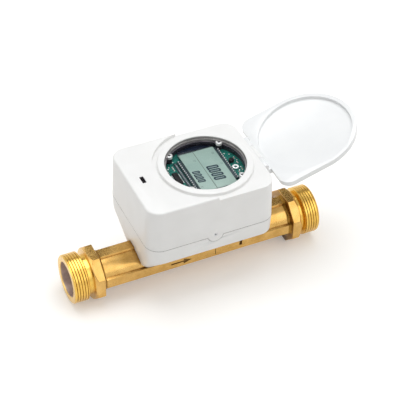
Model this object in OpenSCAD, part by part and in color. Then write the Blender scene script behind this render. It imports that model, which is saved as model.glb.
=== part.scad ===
// Ultrasonic water meter: a brass flow tube with threaded ends carries a white
// housing with a round display window and a hinged lid, shown with the lid open.
// Millimetres. The origin is the centre of the inlet end face, +X runs with the
// flow and +Z points up through the display.

/* [Flow tube] */
// Length from end face to end face
tube_len = 225; // [200:1:260]
// Outer radius of the round tube
tube_r = 16.5; // [15.5:0.1:17.5]
// Radius of the flow bore
bore_r = 12.5; // [11.5:0.1:13]
// Radius of the wider mouth at each end
mouth_r = 15.2; // [13.8:0.1:16.2]
// Depth of the wider mouth
mouth_depth = 12; // [6:0.5:20]
// Width of the four ribs along the tube
rib_w = 9.2; // [6:0.2:11]
// Distance from the axis to the rib faces
rib_face = 18.7; // [17.8:0.1:19.5]

/* [Pipe threads] */
// Radius over the thread crests
thread_r = 20.955; // [20.4:0.005:21.5]
// Depth of the thread
thread_depth = 1.479; // [1.1:0.001:1.6]
// Distance from ridge to ridge
thread_pitch = 2.309; // [2:0.001:2.6]
// Number of ridges at each end
thread_turns = 6; // [4:1:8]
// Length of the plain lead before the first groove
thread_lead = 1.7; // [1:0.1:2.5]
// Radius of the plain neck behind the thread
neck_r = 17.3; // [17:0.1:18.8]
// Length of the plain neck
neck_len = 3.9; // [1:0.1:6]

/* [Collars] */
// Distance across the flats of each collar
collar_flats = 44.4; // [43.6:0.1:52]
// Width of each collar along the tube
collar_w = 8.3; // [6:0.1:16]
// Number of flats on each collar
collar_sides = 8; // [6:2:8]
// Chamfer on the collar corners
collar_chamfer = 1.2; // [0.4:0.1:1.8]

/* [Transducers] */
// Distance between the two transducers along the tube
path_len = 60; // [54:1:70]
// Outer radius of the transducer sockets on the tube
socket_r = 12; // [11:0.1:13]
// Height of the socket tops above the axis
socket_top = 29.5; // [28.5:0.1:32]
// Height of the seal seat in the sockets
socket_seat = 20; // [19:0.1:21]
// Radius of the transducer tips
tip_r = 7; // [6:0.1:7.4]
// Radius of the transducer flanges
flange_r = 9; // [8.6:0.1:9.6]
// Thickness of the transducer flanges
flange_h = 3.2; // [2:0.1:4]
// How far the tips reach into the bore
tip_reach = 1; // [0.5:0.1:1.5]
// Section radius of the transducer seal rings
seal_section_r = 0.88; // [0.7:0.01:0.95]
// Radius of the stub that the lead leaves
stub_r = 4; // [3:0.1:5]
// Height of the stub above the flange
stub_h = 2; // [1:0.1:3]
// Radius of the transducer leads
lead_r = 0.8; // [0.5:0.1:1.2]

/* [Measuring path] */
// Gap from the measuring liner to each mirror block
liner_gap = 4.8; // [3:0.1:8]
// Radius of the throat of the measuring liner
liner_throat_r = 9.5; // [7.5:0.1:10]
// Wall of the measuring liner at its flared ends
liner_lip = 0.8; // [0.5:0.1:1.2]
// Length of the flare at each end of the liner
flare_len = 6; // [3:0.5:10]
// Width of each reflector cradle along the tube
cradle_w = 8; // [6:0.5:9]
// Wall of the reflector cradles
cradle_wall = 1.2; // [0.8:0.1:1.6]
// Radius of the mirror blocks
mirror_r = 4.2; // [3:0.1:5]
// Thickness of the web that carries each mirror block
web_t = 2; // [1.2:0.1:3]

/* [Housing] */
// Length of the housing at the joint line
house_len = 113; // [106:0.5:124]
// Width of the housing at the joint line
house_w = 90; // [88:0.5:98]
// Height of the joint line above the flow axis
joint_z = 45.5; // [43:0.5:48]
// Height of the top deck above the flow axis
deck_z = 85.2; // [83:0.1:92]
// Radius of the upright corners
corner_r = 13; // [11:0.5:16]
// How far the walls lean in from the joint line to the deck
draft = 1; // [0.4:0.1:1.8]
// Rounding along the edge of the deck
deck_round = 1.6; // [0.8:0.1:2.2]
// Wall of both housing halves
wall = 3.2; // [3:0.1:3.8]
// Gap along the joint line
joint_gap = 0.4; // [0.2:0.05:0.6]
// Height of the underside of the housing above the flow axis
base_z = 8; // [6:0.5:11]
// Length of the underside
base_len = 104; // [98:0.5:106]
// Width of the underside
base_w = 43; // [42:0.5:50]
// Height down to which the walls of the lower housing stand upright
skirt_z = 31; // [30:0.5:33]
// How far those walls lean in from the joint line to that height
skirt_lean = 0.7; // [0.4:0.1:1.2]
// Height of the brass seat that carries the housing
seat_z = 20.5; // [20:0.1:22]
// Length of the brass seat
seat_len = 86; // [70:1:94]
// Width of the brass seat
seat_w = 25; // [22:0.5:28]
// Floor thickness of the lower housing
floor_t = 3; // [2:0.1:4]
// Height of the sealing strip
gasket_h = 1.8; // [1.2:0.1:2.4]
// Width of the sealing strip
gasket_w = 0.9; // [0.6:0.1:1]

/* [Seal tab] */
// Radius of the half-round tab over the joint line
tab_r = 6.8; // [5:0.1:8]
// Height of the tab centre above the joint line
tab_rise = 1.5; // [0:0.1:3]
// Thickness of the tab
tab_t = 1.2; // [0.9:0.1:1.3]
// Offset of the tab from the housing centre along the flow
tab_dx = 1.2; // [-10:0.1:10]
// Thread radius of the sealing screw in the tab
seal_screw_r = 0.9; // [0.7:0.05:1.1]
// Length of the sealing screw under its head
seal_screw_len = 5.6; // [5:0.1:6]
// Height of the sealing screw's head
seal_head_h = 0.9; // [0.6:0.1:1]
// Length of each tongue that locates the upper housing
tongue_len = 14; // [8:0.5:20]
// Thickness of the tongues
tongue_t = 3.6; // [3:0.1:4]
// Height of the tongues above the joint line
tongue_rise = 5; // [4:0.1:8]
// Distance between the two tongues at the back
tongue_pitch = 50; // [30:0.5:64]

/* [Window and lid] */
// Offset of the window from the housing centre along the flow
window_dx = 12; // [9:0.5:12]
// Radius of the window opening
window_r = 33.8; // [31:0.1:35]
// Radius of the raised rim around the window
rim_r = 39.5; // [38.5:0.1:41]
// How far the ledge around the rim lies below the deck
ledge_drop = 3; // [2:0.1:3.4]
// Width of the lid's border outside the rim
lid_border = 3.6; // [3:0.1:4]
// Distance from the window centre to the lid's hinge edge
lid_back = 42; // [41:0.5:44]
// Corner radius at the lid's hinge edge
lid_corner_r = 10; // [6:0.5:14]
// Thickness of the lid's roof
lid_roof = 1.7; // [1.2:0.1:2.5]
// Clearance of the lid from the housing
lid_gap = 0.4; // [0.3:0.05:0.6]
// Angle from the closed lid to the open lid
lid_open = 163.5; // [150:0.5:165]

/* [Hinge] */
// Distance of the hinge axis from the end wall at the deck
hinge_out = 2.25; // [2:0.05:3]
// Height of the hinge axis below the deck
hinge_drop = 6.2; // [5.6:0.1:7.5]
// Radius of the knuckles
knuckle_r = 2.6; // [2.2:0.1:2.7]
// Radius of the hinge pin
hinge_pin_r = 1; // [0.8:0.05:1.3]
// Length of the whole hinge
hinge_len = 40; // [30:1:50]
// Length of the knuckle on the housing
mid_knuckle = 16; // [10:0.5:24]
// Gap between knuckles
knuckle_gap = 0.4; // [0.3:0.05:0.6]
// Radial running clearance on the hinge pin
pin_clear = 0.05; // [0.02:0.01:0.09]

/* [Display] */
// Depth of the board's top face below the deck
board_depth = 10.3; // [9.8:0.1:11.5]
// Thickness of the circuit board
board_t = 1.6; // [1:0.1:2]
// Gap from the circuit board to the end wall at the hinge
board_end_gap = 3.3; // [1:0.1:6]
// Gap from the circuit board to each side wall
board_side_gap = 2.8; // [1:0.1:4]
// How far the circuit board reaches past the window towards the inlet
board_reach = 9.2; // [5:0.1:12]
// Size of the display glass along the flow
lcd_len = 31.5; // [26:0.5:33]
// Size of the display glass across the flow
lcd_w = 52.8; // [46:0.2:54]
// Thickness of the display glass
lcd_t = 2.2; // [1.4:0.1:2.6]
// Offset of the display glass from the window centre along the flow
lcd_dx = 2.2; // [0:0.1:3]
// Length of the pin headers beside the display glass
header_len = 38; // [30:0.5:39]
// Width of the pin headers
header_w = 3.6; // [3:0.1:4]
// Height of the pin headers
header_h = 1.6; // [1:0.1:2]
// Number of pins in each header
pin_count = 15; // [12:1:20]
// Side of the square pins
pin_side = 0.9; // [0.6:0.05:1.1]
// Height of the pins above the headers
pin_h = 0.9; // [0.5:0.1:1.2]
// Wall of the dark display bezel
bezel_wall = 1.2; // [0.8:0.1:1.5]
// Radius of the four display lugs
lug_r = 2.6; // [2.3:0.1:2.9]
// Depth of the lug tops below the deck
lug_depth = 3; // [2.7:0.1:3.4]
// Thickness of the lugs
lug_t = 2.4; // [2:0.1:2.6]
// Thickness of the window pane
pane_t = 1.8; // [1.2:0.1:2]
// Thickness of the seal under the pane
pane_seal_t = 0.6; // [0.3:0.1:0.7]
// Length of the infrared port along the flow
port_len = 3.2; // [2.4:0.1:5]
// Width of the infrared port across the flow
port_w = 8; // [6:0.1:10]
// Distance of the infrared port from the inlet end of the housing
port_inset = 13.1; // [11.5:0.1:15.5]

/* [Battery] */
// Radius of the battery
battery_r = 13; // [11:0.1:13]
// Length of the battery
battery_len = 50; // [44:0.5:52]
// Gap from the battery cradle to each transducer socket
cradle_gap = 2; // [1:0.1:5]
// Width of the battery cradle
cradle_across = 21; // [18:0.5:24]
// Height of the battery cradle
cradle_h = 15.5; // [12:0.1:17]
// Height of the battery axis above the housing floor
battery_rise = 20; // [19:0.1:22]

/* [Board parts] */
// Size of the chip along the flow
chip_len = 4.5; // [3:0.1:5]
// Size of the chip across the flow
chip_w = 14; // [8:0.1:16]
// Height of the chip
chip_h = 1.8; // [1:0.1:3]
// Offset of the chip from the window centre along the flow
chip_dx = -24.8; // [-25.5:0.1:-22]
// Radius of the capacitor
capacitor_r = 2.3; // [1.8:0.1:2.5]
// Height of the capacitor
capacitor_h = 2.6; // [2:0.1:4]
// Offset of the capacitor from the window centre along the flow
capacitor_dx = 25; // [24.6:0.1:26]
// Offset of the capacitor from the window centre across the flow
capacitor_y = 3.3; // [2:0.1:5]
// Outer radius of the coil
coil_r = 2.8; // [2:0.1:3]
// Radius of the hole in the coil
coil_hole_r = 1.3; // [0.8:0.1:1.6]
// Height of the coil
coil_h = 1.4; // [1:0.1:2]
// Offset of the coil from the window centre along the flow
coil_dx = 25; // [25:0.1:26]
// Offset of the coil from the window centre across the flow
coil_y = -5; // [-7:0.1:-3.4]

/* [Screws] */
// Thread radius of the screws that hold the housing to the brass seat
seat_screw_r = 2; // [1.5:0.1:2.2]
// Distance between the two seat screws across the flow
seat_screw_pitch = 16; // [14:0.2:17]
// Depth of the seat screws in the brass
seat_screw_depth = 5; // [3:0.1:5.5]
// Thread radius of the display screws
lug_screw_r = 0.9; // [0.7:0.05:1.1]

/* [Hidden] */
$fn = 96;
hull_fn = 32;

// Working allowances
fit_gap = 0.1;
screw_gap = 0.05;
seal_slack = 0.02;
cut_over = 1;
disc_h = 0.01;

// Threads and collars
thread_root_r = thread_r - thread_depth;
crest_w = 0.34 * thread_pitch;
flank_w = 0.3 * thread_pitch;
lead_over = thread_lead - crest_w;
thread_len = lead_over + thread_turns * thread_pitch - flank_w;
collar_x = thread_len + neck_len;
collar_corner_r = collar_flats / 2 / cos(180 / collar_sides);

// Housing frame
mid_x = tube_len / 2;
half_len = house_len / 2;
half_w = house_w / 2;
upper_z = joint_z + joint_gap / 2;
lower_z = joint_z - joint_gap / 2;
skirt_len = house_len - 2 * skirt_lean;
skirt_w = house_w - 2 * skirt_lean;
// Level measure of a wall that slopes at about 45 degrees
slope_wall = sqrt(2) * wall;
floor_z = seat_z + floor_t;
ledge_z = deck_z - ledge_drop;
ceiling_z = ledge_z - wall;
window_x = mid_x + window_dx;
end_wall_x = mid_x + half_len - draft;

// Lid and hinge
lid_hole_r = rim_r + lid_gap;
lid_r = lid_hole_r + lid_border;
lid_under_z = ledge_z + lid_gap;
lid_ceiling_z = deck_z + lid_gap;
lid_top_z = lid_ceiling_z + lid_roof;
hinge_x = end_wall_x + hinge_out;
hinge_z = deck_z - hinge_drop;
pocket_r = knuckle_r + lid_gap;
arm_in = hinge_x - end_wall_x - 2 * lid_gap;
ledge_break = 8;

// Display stack, from the board up
board_z = deck_z - board_depth;
board_under_z = board_z - board_t;
board_from_x = window_x - window_r - board_reach;
board_to_x = end_wall_x - wall - board_end_gap;
board_w = house_w - 2 * (draft + wall + board_side_gap);
port_x = mid_x - half_len + port_inset;
lcd_x = window_x + lcd_dx;
pin_setback = 1.5 * pin_side;
lug_z = deck_z - lug_depth;
lug_under_z = lug_z - lug_t;
lug_root = 0.6;
lug_at_r = window_r - lug_r + lug_root;
lug_head_h = 0.9;
well_wall = 2.5;
pane_z = lug_z + pane_seal_t;

// Transducer stack, from the seal seat up
transducer_x = [mid_x - path_len / 2, mid_x + path_len / 2];
flange_z = socket_seat + 2 * (seal_section_r + seal_slack);
gland_z = flange_z + flange_h;
stub_z = gland_z + stub_h;
liner_len = path_len - 2 * (mirror_r + liner_gap);

// Joint of the two housing halves
tab_x = mid_x + tab_dx;
tab_z = joint_z + tab_rise;
tongue_out = half_w - wall - lid_gap;
tongue_root = 4;
seal_head_r = 2 * seal_screw_r;
seal_head_y = -half_w + fit_gap + seal_head_h;

// Seat screws
head_margin = 1.5;
seat_head_r = seat_screw_r + head_margin;
seat_head_h = 2.4;
hole_spare = 0.5;

// Battery
battery_z = floor_z + battery_rise;
battery_lead_dx = battery_len / 3;
battery_cradle_len = path_len - 2 * (socket_r + cradle_gap);

// Places a shape that stands along Z so that it lies along the flow
module along_flow(x) {
    translate([x, 0, 0]) rotate([0, 90, 0]) children();
}

// Repeats a shape of the inlet end at the outlet end
module both_ends() {
    children();
    translate([tube_len, 0, 0]) mirror([1, 0, 0]) children();
}

// Repeats a shape at both transducers
module both_transducers() {
    for (x = transducer_x) translate([x, 0, 0]) children();
}

// Repeats a shape at the four display lugs
module at_lugs() {
    for (turn = [45:90:315])
        translate([window_x, 0, 0]) rotate(turn) translate([lug_at_r, 0, 0]) children();
}

// Box with its lowest corner at [x, -width / 2, z]
module centred_box(x, z, length, width, height) {
    translate([x, -width / 2, z]) cube([length, width, height]);
}

// Four upright corner discs of one level of a rounded box
module corner_discs(z, length, width, radius) {
    for (sx = [-1, 1], sy = [-1, 1])
        translate([mid_x + sx * (length / 2 - radius), sy * (width / 2 - radius), z])
            cylinder(h = disc_h, r = radius, $fn = hull_fn);
}

// Outline of the tube and its four ribs
module tube_section(gap = 0) {
    circle(r = tube_r + gap);
    for (turn = [0:90:270])
        rotate(turn) translate([0, -rib_w / 2 - gap]) square([rib_face + gap, rib_w + 2 * gap]);
}

module thread_ridges() {
    rotate_extrude() polygon(concat(
        [[0, 0], [thread_r, 0]],
        [for (i = [0:thread_turns - 1], from = lead_over + i * thread_pitch) each [
            if (i > 0) [thread_r, from],
            [thread_r, from + crest_w],
            [thread_root_r, from + crest_w + flank_w],
            [thread_root_r, from + thread_pitch - flank_w]]],
        [[0, thread_len]]));
}

module collar() {
    intersection() {
        rotate(180 / collar_sides)
            cylinder(h = collar_w, r = collar_corner_r, $fn = collar_sides);
        rotate_extrude() polygon([[0, 0],
            [collar_corner_r - collar_chamfer, 0],
            [collar_corner_r, collar_chamfer],
            [collar_corner_r, collar_w - collar_chamfer],
            [collar_corner_r - collar_chamfer, collar_w],
            [0, collar_w]]);
    }
}

module flow_tube() {
    color("goldenrod") difference() {
        union() {
            along_flow(collar_x)
                linear_extrude(tube_len - 2 * collar_x) tube_section();
            both_ends() {
                along_flow(0) thread_ridges();
                along_flow(thread_len / 2) cylinder(h = thread_len / 2 + neck_len + 1, r = neck_r);
                along_flow(collar_x) collar();
            }
            centred_box(mid_x - seat_len / 2, 0, seat_len, seat_w, seat_z);
            both_transducers() cylinder(h = socket_top, r = socket_r);
        }
        along_flow(-cut_over) cylinder(h = tube_len + 2 * cut_over, r = bore_r);
        both_ends() along_flow(-cut_over) cylinder(h = mouth_depth + cut_over, r = mouth_r);
        both_transducers() {
            cylinder(h = socket_top, r = tip_r + fit_gap);
            translate([0, 0, socket_seat]) cylinder(h = socket_top, r = flange_r + fit_gap);
        }
        seat_screw_places(seat_z - seat_screw_depth - hole_spare)
            cylinder(h = seat_screw_depth + cut_over, r = seat_screw_r + screw_gap);
    }
}

module measuring_liner() {
    outer_r = bore_r - fit_gap;
    flare_r = outer_r - liner_lip;
    color("whitesmoke") along_flow(mid_x - liner_len / 2) rotate_extrude() polygon([
        [flare_r, 0], [outer_r, 0], [outer_r, liner_len], [flare_r, liner_len],
        [liner_throat_r, liner_len - flare_len], [liner_throat_r, flare_len]]);
}

// Mirror on a web in an open cradle, looking downstream after a turn of 0
module reflector(x, turn) {
    outer_r = bore_r - fit_gap;
    block_len = 2 * mirror_r;
    color("silver") translate([x, 0, 0]) rotate(turn) {
        difference() {
            along_flow(-cradle_w / 2) cylinder(h = cradle_w, r = outer_r);
            along_flow(-cradle_w) cylinder(h = 2 * cradle_w, r = outer_r - cradle_wall);
            centred_box(-cradle_w, 0, 2 * cradle_w, 4 * bore_r, 2 * bore_r);
        }
        intersection() {
            along_flow(-cradle_w / 2) cylinder(h = cradle_w, r = outer_r - cradle_wall / 2);
            centred_box(-cradle_w / 2, -outer_r, cradle_w, web_t, outer_r - mirror_r / 2);
        }
        difference() {
            along_flow(-block_len / 2) cylinder(h = block_len, r = mirror_r);
            rotate([0, 45, 0])
                centred_box(-2 * block_len, 0, 4 * block_len, 2 * block_len, 2 * block_len);
        }
    }
}

module inlet_reflector() { reflector(transducer_x[0], 0); }

module outlet_reflector() { reflector(transducer_x[1], 180); }

module transducer(x) {
    color("dimgray") translate([x, 0, 0]) {
        translate([0, 0, bore_r - tip_reach])
            cylinder(h = flange_z - bore_r + tip_reach + flange_h / 2, r = tip_r);
        translate([0, 0, flange_z]) cylinder(h = flange_h, r = flange_r);
        translate([0, 0, flange_z]) cylinder(h = stub_z - flange_z, r = stub_r);
    }
}

module inlet_transducer() { transducer(transducer_x[0]); }

module outlet_transducer() { transducer(transducer_x[1]); }

module transducer_seals() {
    ring_r = (tip_r + flange_r + fit_gap) / 2;
    color("black") both_transducers()
        translate([0, 0, (socket_seat + flange_z) / 2])
            rotate_extrude() translate([ring_r, 0]) circle(r = seal_section_r);
}

module gland_nuts() {
    slot_w = 2.4;
    slot_depth = 1.5;
    color("darkgoldenrod") both_transducers() difference() {
        translate([0, 0, gland_z]) cylinder(h = socket_top - gland_z, r = flange_r);
        cylinder(h = socket_top + cut_over, r = stub_r + fit_gap);
        centred_box(-2 * flange_r, socket_top - slot_depth, 4 * flange_r, slot_w, 2 * slot_depth);
    }
}

module transducer_leads() {
    color("red") both_transducers()
        translate([0, 0, stub_z]) cylinder(h = board_under_z - stub_z, r = lead_r);
}

// Repeats a shape at the two seat screws, from the given height
module seat_screw_places(z) {
    for (side = [-1, 1])
        translate([mid_x, side * seat_screw_pitch / 2, z]) children();
}

// Outer form of the lower housing: an upright skirt, then a taper down to the tube
module lower_form() {
    hull() {
        corner_discs(lower_z - disc_h, house_len, house_w, corner_r);
        corner_discs(skirt_z, skirt_len, skirt_w, corner_r - skirt_lean);
        corner_discs(base_z, base_len, base_w, corner_r / 2);
    }
}

// Space inside the lower housing, above its floor
module lower_space() {
    taper = (floor_z - base_z) / (skirt_z - base_z);
    floor_len = base_len + taper * (skirt_len - base_len) - 2 * slope_wall;
    floor_w = base_w + taper * (skirt_w - base_w) - 2 * slope_wall;
    hull() {
        corner_discs(lower_z, house_len - 2 * wall, house_w - 2 * wall, corner_r - wall);
        corner_discs(skirt_z + slope_wall - wall, skirt_len - 2 * wall, skirt_w - 2 * wall,
            corner_r - skirt_lean - wall);
        corner_discs(floor_z, floor_len, floor_w, corner_r / 2);
    }
}

// Ring that the sealing strip fills, with a gap all round
module strip_ring(gap) {
    inset = tab_t + lid_gap + fit_gap - gap;
    inner = tab_t + lid_gap + fit_gap + gasket_w + gap;
    linear_extrude(gasket_h) difference() {
        hull() corner_circles(house_len - 2 * inset, house_w - 2 * inset, corner_r - inset);
        hull() corner_circles(house_len - 2 * inner, house_w - 2 * inner, corner_r - inner);
    }
}

// Four corner circles of a rounded rectangle
module corner_circles(length, width, radius) {
    for (sx = [-1, 1], sy = [-1, 1])
        translate([mid_x + sx * (length / 2 - radius), sy * (width / 2 - radius)])
            circle(r = radius, $fn = hull_fn);
}

// Tongue inside the front or back wall, centred at x, on a foot that joins it to the wall
module tongue(x, side) {
    foot_out = half_w - wall / 2;
    mirror([0, side < 0 ? 1 : 0, 0])
        translate([x - tongue_len / 2, tongue_out - tongue_t, joint_z - tongue_root]) {
            cube([tongue_len, tongue_t, tongue_root + tongue_rise]);
            translate([0, 0, -tongue_root])
                cube([tongue_len, foot_out - tongue_out + tongue_t, 1.2 * tongue_root]);
        }
}

// Cylinder on the sealing screw's axis, inwards from a place across the flow
module on_seal_screw(from_y, length, radius) {
    translate([tab_x, from_y, tab_z]) rotate([-90, 0, 0]) cylinder(h = length, r = radius);
}

// Half-round seal tab on the front wall, grown by a gap
module seal_tab(gap) {
    translate([tab_x, -half_w + tab_t + gap, tab_z])
        rotate([90, 0, 0]) cylinder(h = tab_t + 2 * gap, r = tab_r + gap);
}

module lower_housing() {
    color("white") difference() {
        union() {
            difference() {
                lower_form();
                lower_space();
            }
            tongue(tab_x, -1);
            for (side = [-1, 1]) tongue(mid_x + side * tongue_pitch / 2, 1);
        }
        along_flow(mid_x - half_len)
            linear_extrude(house_len) tube_section(lid_gap);
        centred_box(mid_x - seat_len / 2 - fit_gap, 0, seat_len + 2 * fit_gap, seat_w + 2 * fit_gap, seat_z);
        both_transducers() cylinder(h = socket_top, r = socket_r + fit_gap);
        seat_screw_places(seat_z - cut_over)
            cylinder(h = floor_t + 2 * cut_over, r = seat_screw_r + fit_gap);
        on_seal_screw(-half_w, 2 * wall + tongue_t, seal_screw_r + screw_gap);
        translate([0, 0, lower_z - gasket_h + joint_gap]) strip_ring(fit_gap);
        seal_tab(lid_gap);
    }
}

module seat_screws() {
    color("silver") {
        seat_screw_places(seat_z - seat_screw_depth)
            cylinder(h = seat_screw_depth + floor_t + seat_head_h / 2, r = seat_screw_r);
        seat_screw_places(floor_z) cylinder(h = seat_head_h, r = seat_head_r);
    }
}

module housing_gasket() {
    color("dimgray") translate([0, 0, upper_z - gasket_h]) strip_ring(0);
}

// Outer form of the upper housing with a rounded deck edge
module upper_form() {
    hull() {
        corner_discs(upper_z, house_len, house_w, corner_r);
        for (turn = [0:30:90]) {
            inset = draft + deck_round * (1 - cos(turn));
            corner_discs(deck_z - disc_h - deck_round * (1 - sin(turn)),
                house_len - 2 * inset, house_w - 2 * inset, corner_r - inset);
        }
    }
}

// Space inside the upper housing
module upper_space() {
    inset = draft + wall;
    hull() {
        corner_discs(upper_z - cut_over, house_len - 2 * wall, house_w - 2 * wall, corner_r - wall);
        corner_discs(ceiling_z, house_len - 2 * inset, house_w - 2 * inset, corner_r - inset);
    }
}

// Space that the closed lid takes up on the deck, around the raised rim
module lid_ledge() {
    difference() {
        union() {
            translate([window_x, 0, ledge_z]) cylinder(h = 2 * ledge_drop, r = lid_r + lid_gap);
            centred_box(window_x - ledge_break, ledge_z, house_len, 2 * house_w, 2 * ledge_drop);
        }
        translate([window_x, 0, 0]) cylinder(h = 2 * deck_z, r = rim_r);
    }
}

// Cylinder along the hinge axis, between two places across the flow
module on_hinge(from_y, to_y, radius) {
    translate([hinge_x, to_y, hinge_z]) rotate([90, 0, 0]) cylinder(h = to_y - from_y, r = radius);
}

module upper_housing() {
    color("white") difference() {
        union() {
            difference() {
                upper_form();
                difference() {
                    upper_space();
                    translate([window_x, 0, board_z]) cylinder(h = board_depth, r = window_r + well_wall);
                }
                lid_ledge();
                on_hinge(-hinge_len / 2 - lid_gap, hinge_len / 2 + lid_gap, pocket_r);
                translate([window_x, 0, board_z - cut_over])
                    cylinder(h = board_depth + 2 * cut_over, r = window_r);
            }
            at_lugs() translate([0, 0, lug_under_z]) cylinder(h = lug_t, r = lug_r);
            seal_tab(0);
            on_hinge(-mid_knuckle / 2, mid_knuckle / 2, knuckle_r);
            translate([end_wall_x - wall / 2, -mid_knuckle / 2, hinge_z - knuckle_r])
                cube([hinge_out + wall / 2, mid_knuckle, knuckle_r]);
        }
        on_seal_screw(-half_w - cut_over, 2 * wall, seal_screw_r + fit_gap);
        on_seal_screw(-half_w - cut_over, seal_head_y + half_w + cut_over, seal_head_r + fit_gap);
        on_hinge(-hinge_len, hinge_len, hinge_pin_r + screw_gap / 2);
        at_lugs() {
            translate([0, 0, lug_z - lug_head_h - fit_gap])
                cylinder(h = 2 * lug_head_h, r = 2 * lug_screw_r + fit_gap);
            cylinder(h = deck_z, r = lug_screw_r + screw_gap);
        }
        centred_box(port_x - port_len / 2 - fit_gap, ceiling_z - cut_over,
            port_len + 2 * fit_gap, port_w + 2 * fit_gap, deck_z - ceiling_z + 2 * cut_over);
    }
}

module seal_screw() {
    color("silver") {
        on_seal_screw(seal_head_y - seal_head_h, seal_head_h, seal_head_r);
        on_seal_screw(seal_head_y - seal_head_h / 2, seal_screw_len + seal_head_h / 2, seal_screw_r);
    }
}

module infrared_port() {
    sunk = 0.3;
    flange = 1;
    color("black") {
        centred_box(port_x - port_len / 2, ceiling_z - flange / 2, port_len, port_w,
            deck_z - sunk - ceiling_z + flange / 2);
        centred_box(port_x - port_len / 2 - flange, ceiling_z - flange, port_len + 2 * flange,
            port_w + 2 * flange, flange);
    }
}

module battery() {
    cap_r = 4;
    cap_h = 1.2;
    color("seagreen") {
        translate([0, 0, battery_z]) along_flow(mid_x - battery_len / 2)
            cylinder(h = battery_len - cap_h, r = battery_r);
        translate([0, 0, battery_z]) along_flow(mid_x - battery_len / 2)
            cylinder(h = battery_len, r = cap_r);
    }
}

module battery_cradle() {
    color("black") difference() {
        centred_box(mid_x - battery_cradle_len / 2, floor_z, battery_cradle_len, cradle_across, cradle_h);
        translate([0, 0, battery_z]) along_flow(mid_x - battery_len)
            cylinder(h = 2 * battery_len, r = battery_r + fit_gap);
        seat_screw_places(floor_z - cut_over)
            cylinder(h = 2 * battery_rise, r = seat_head_r + fit_gap);
    }
}

module battery_leads() {
    color("red") for (side = [-1, 1])
        translate([mid_x + side * battery_lead_dx, 0, battery_z + battery_r])
            cylinder(h = board_under_z - battery_z - battery_r, r = lead_r);
}

module circuit_board() {
    color("seagreen") difference() {
        centred_box(board_from_x, board_under_z, board_to_x - board_from_x, board_w, board_t);
        at_lugs() translate([0, 0, board_under_z - cut_over])
            cylinder(h = board_t + 2 * cut_over, r = lug_screw_r + screw_gap);
    }
}

// Parts that show on the board, set out from the window centre
module board_chip() {
    color("black") centred_box(window_x + chip_dx - chip_len / 2, board_z, chip_len, chip_w, chip_h);
}

module board_capacitor() {
    color("black") translate([window_x + capacitor_dx, capacitor_y, board_z])
        cylinder(h = capacitor_h, r = capacitor_r);
}

module board_coil() {
    color("silver") translate([window_x + coil_dx, coil_y, board_z]) rotate_extrude()
        translate([coil_hole_r, 0]) square([coil_r - coil_hole_r, coil_h]);
}

module display_glass() {
    color("darkseagreen")
        centred_box(lcd_x - lcd_len / 2, board_z, lcd_len, lcd_w, lcd_t);
}

// Repeats a shape at the two pin headers, counted outwards from the display glass
module both_headers() {
    for (side = [-1, 1]) translate([lcd_x, 0, board_z])
        rotate(side > 0 ? 0 : 180) translate([lcd_len / 2 + fit_gap, 0, 0]) children();
}

module pin_headers() {
    color("black") both_headers() centred_box(0, 0, header_w, header_len, header_h);
}

module display_pins() {
    step = header_len / pin_count;
    color("lightgray") both_headers() for (i = [0:pin_count - 1])
        translate([header_w - pin_setback, (i + 0.5) * step - header_len / 2 - pin_side / 2, header_h])
            cube([pin_side, pin_side, pin_h]);
}

module display_bezel() {
    bezel_r = window_r - fit_gap;
    color("black") difference() {
        union() {
            difference() {
                translate([window_x, 0, board_z]) cylinder(h = lug_under_z - board_z, r = bezel_r);
                translate([window_x, 0, 0]) cylinder(h = deck_z, r = bezel_r - bezel_wall);
            }
            intersection() {
                at_lugs() translate([0, 0, board_z]) cylinder(h = lug_under_z - board_z, r = lug_r);
                translate([window_x, 0, 0]) cylinder(h = deck_z, r = bezel_r - bezel_wall / 2);
            }
        }
        at_lugs() cylinder(h = deck_z, r = lug_screw_r + screw_gap);
    }
}

module display_screws() {
    head_z = lug_z - lug_head_h - fit_gap;
    tip_z = board_under_z - lug_head_h;
    color("silver") at_lugs() {
        translate([0, 0, head_z]) cylinder(h = lug_head_h, r = 2 * lug_screw_r);
        translate([0, 0, tip_z]) cylinder(h = head_z - tip_z + lug_head_h / 2, r = lug_screw_r);
    }
}

module pane_seal() {
    color("black") translate([window_x, 0, lug_z]) difference() {
        cylinder(h = pane_seal_t, r = window_r - fit_gap);
        translate([0, 0, -cut_over])
            cylinder(h = pane_seal_t + 2 * cut_over, r = window_r - fit_gap - bezel_wall);
    }
}

module window_pane() {
    color("lightcyan", 0.3) translate([window_x, 0, pane_z]) cylinder(h = pane_t, r = window_r - fit_gap);
}

module hinge_pin() {
    color("silver") on_hinge(-hinge_len / 2, hinge_len / 2, hinge_pin_r);
}

// Outline of the lid: half round in front of the window, square to the hinge
module lid_outline() {
    circle(r = lid_r);
    difference() {
        translate([0, -lid_r]) square([lid_back, 2 * lid_r]);
        for (side = [-1, 1])
            translate([lid_back - lid_corner_r, side * (lid_r - lid_corner_r)]) lid_corner_cut(side);
    }
}

// What the rounding takes off one hinge corner of the lid
module lid_corner_cut(side) {
    difference() {
        translate([0, side > 0 ? 0 : -2 * lid_corner_r]) square(2 * lid_corner_r);
        circle(r = lid_corner_r);
    }
}

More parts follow.
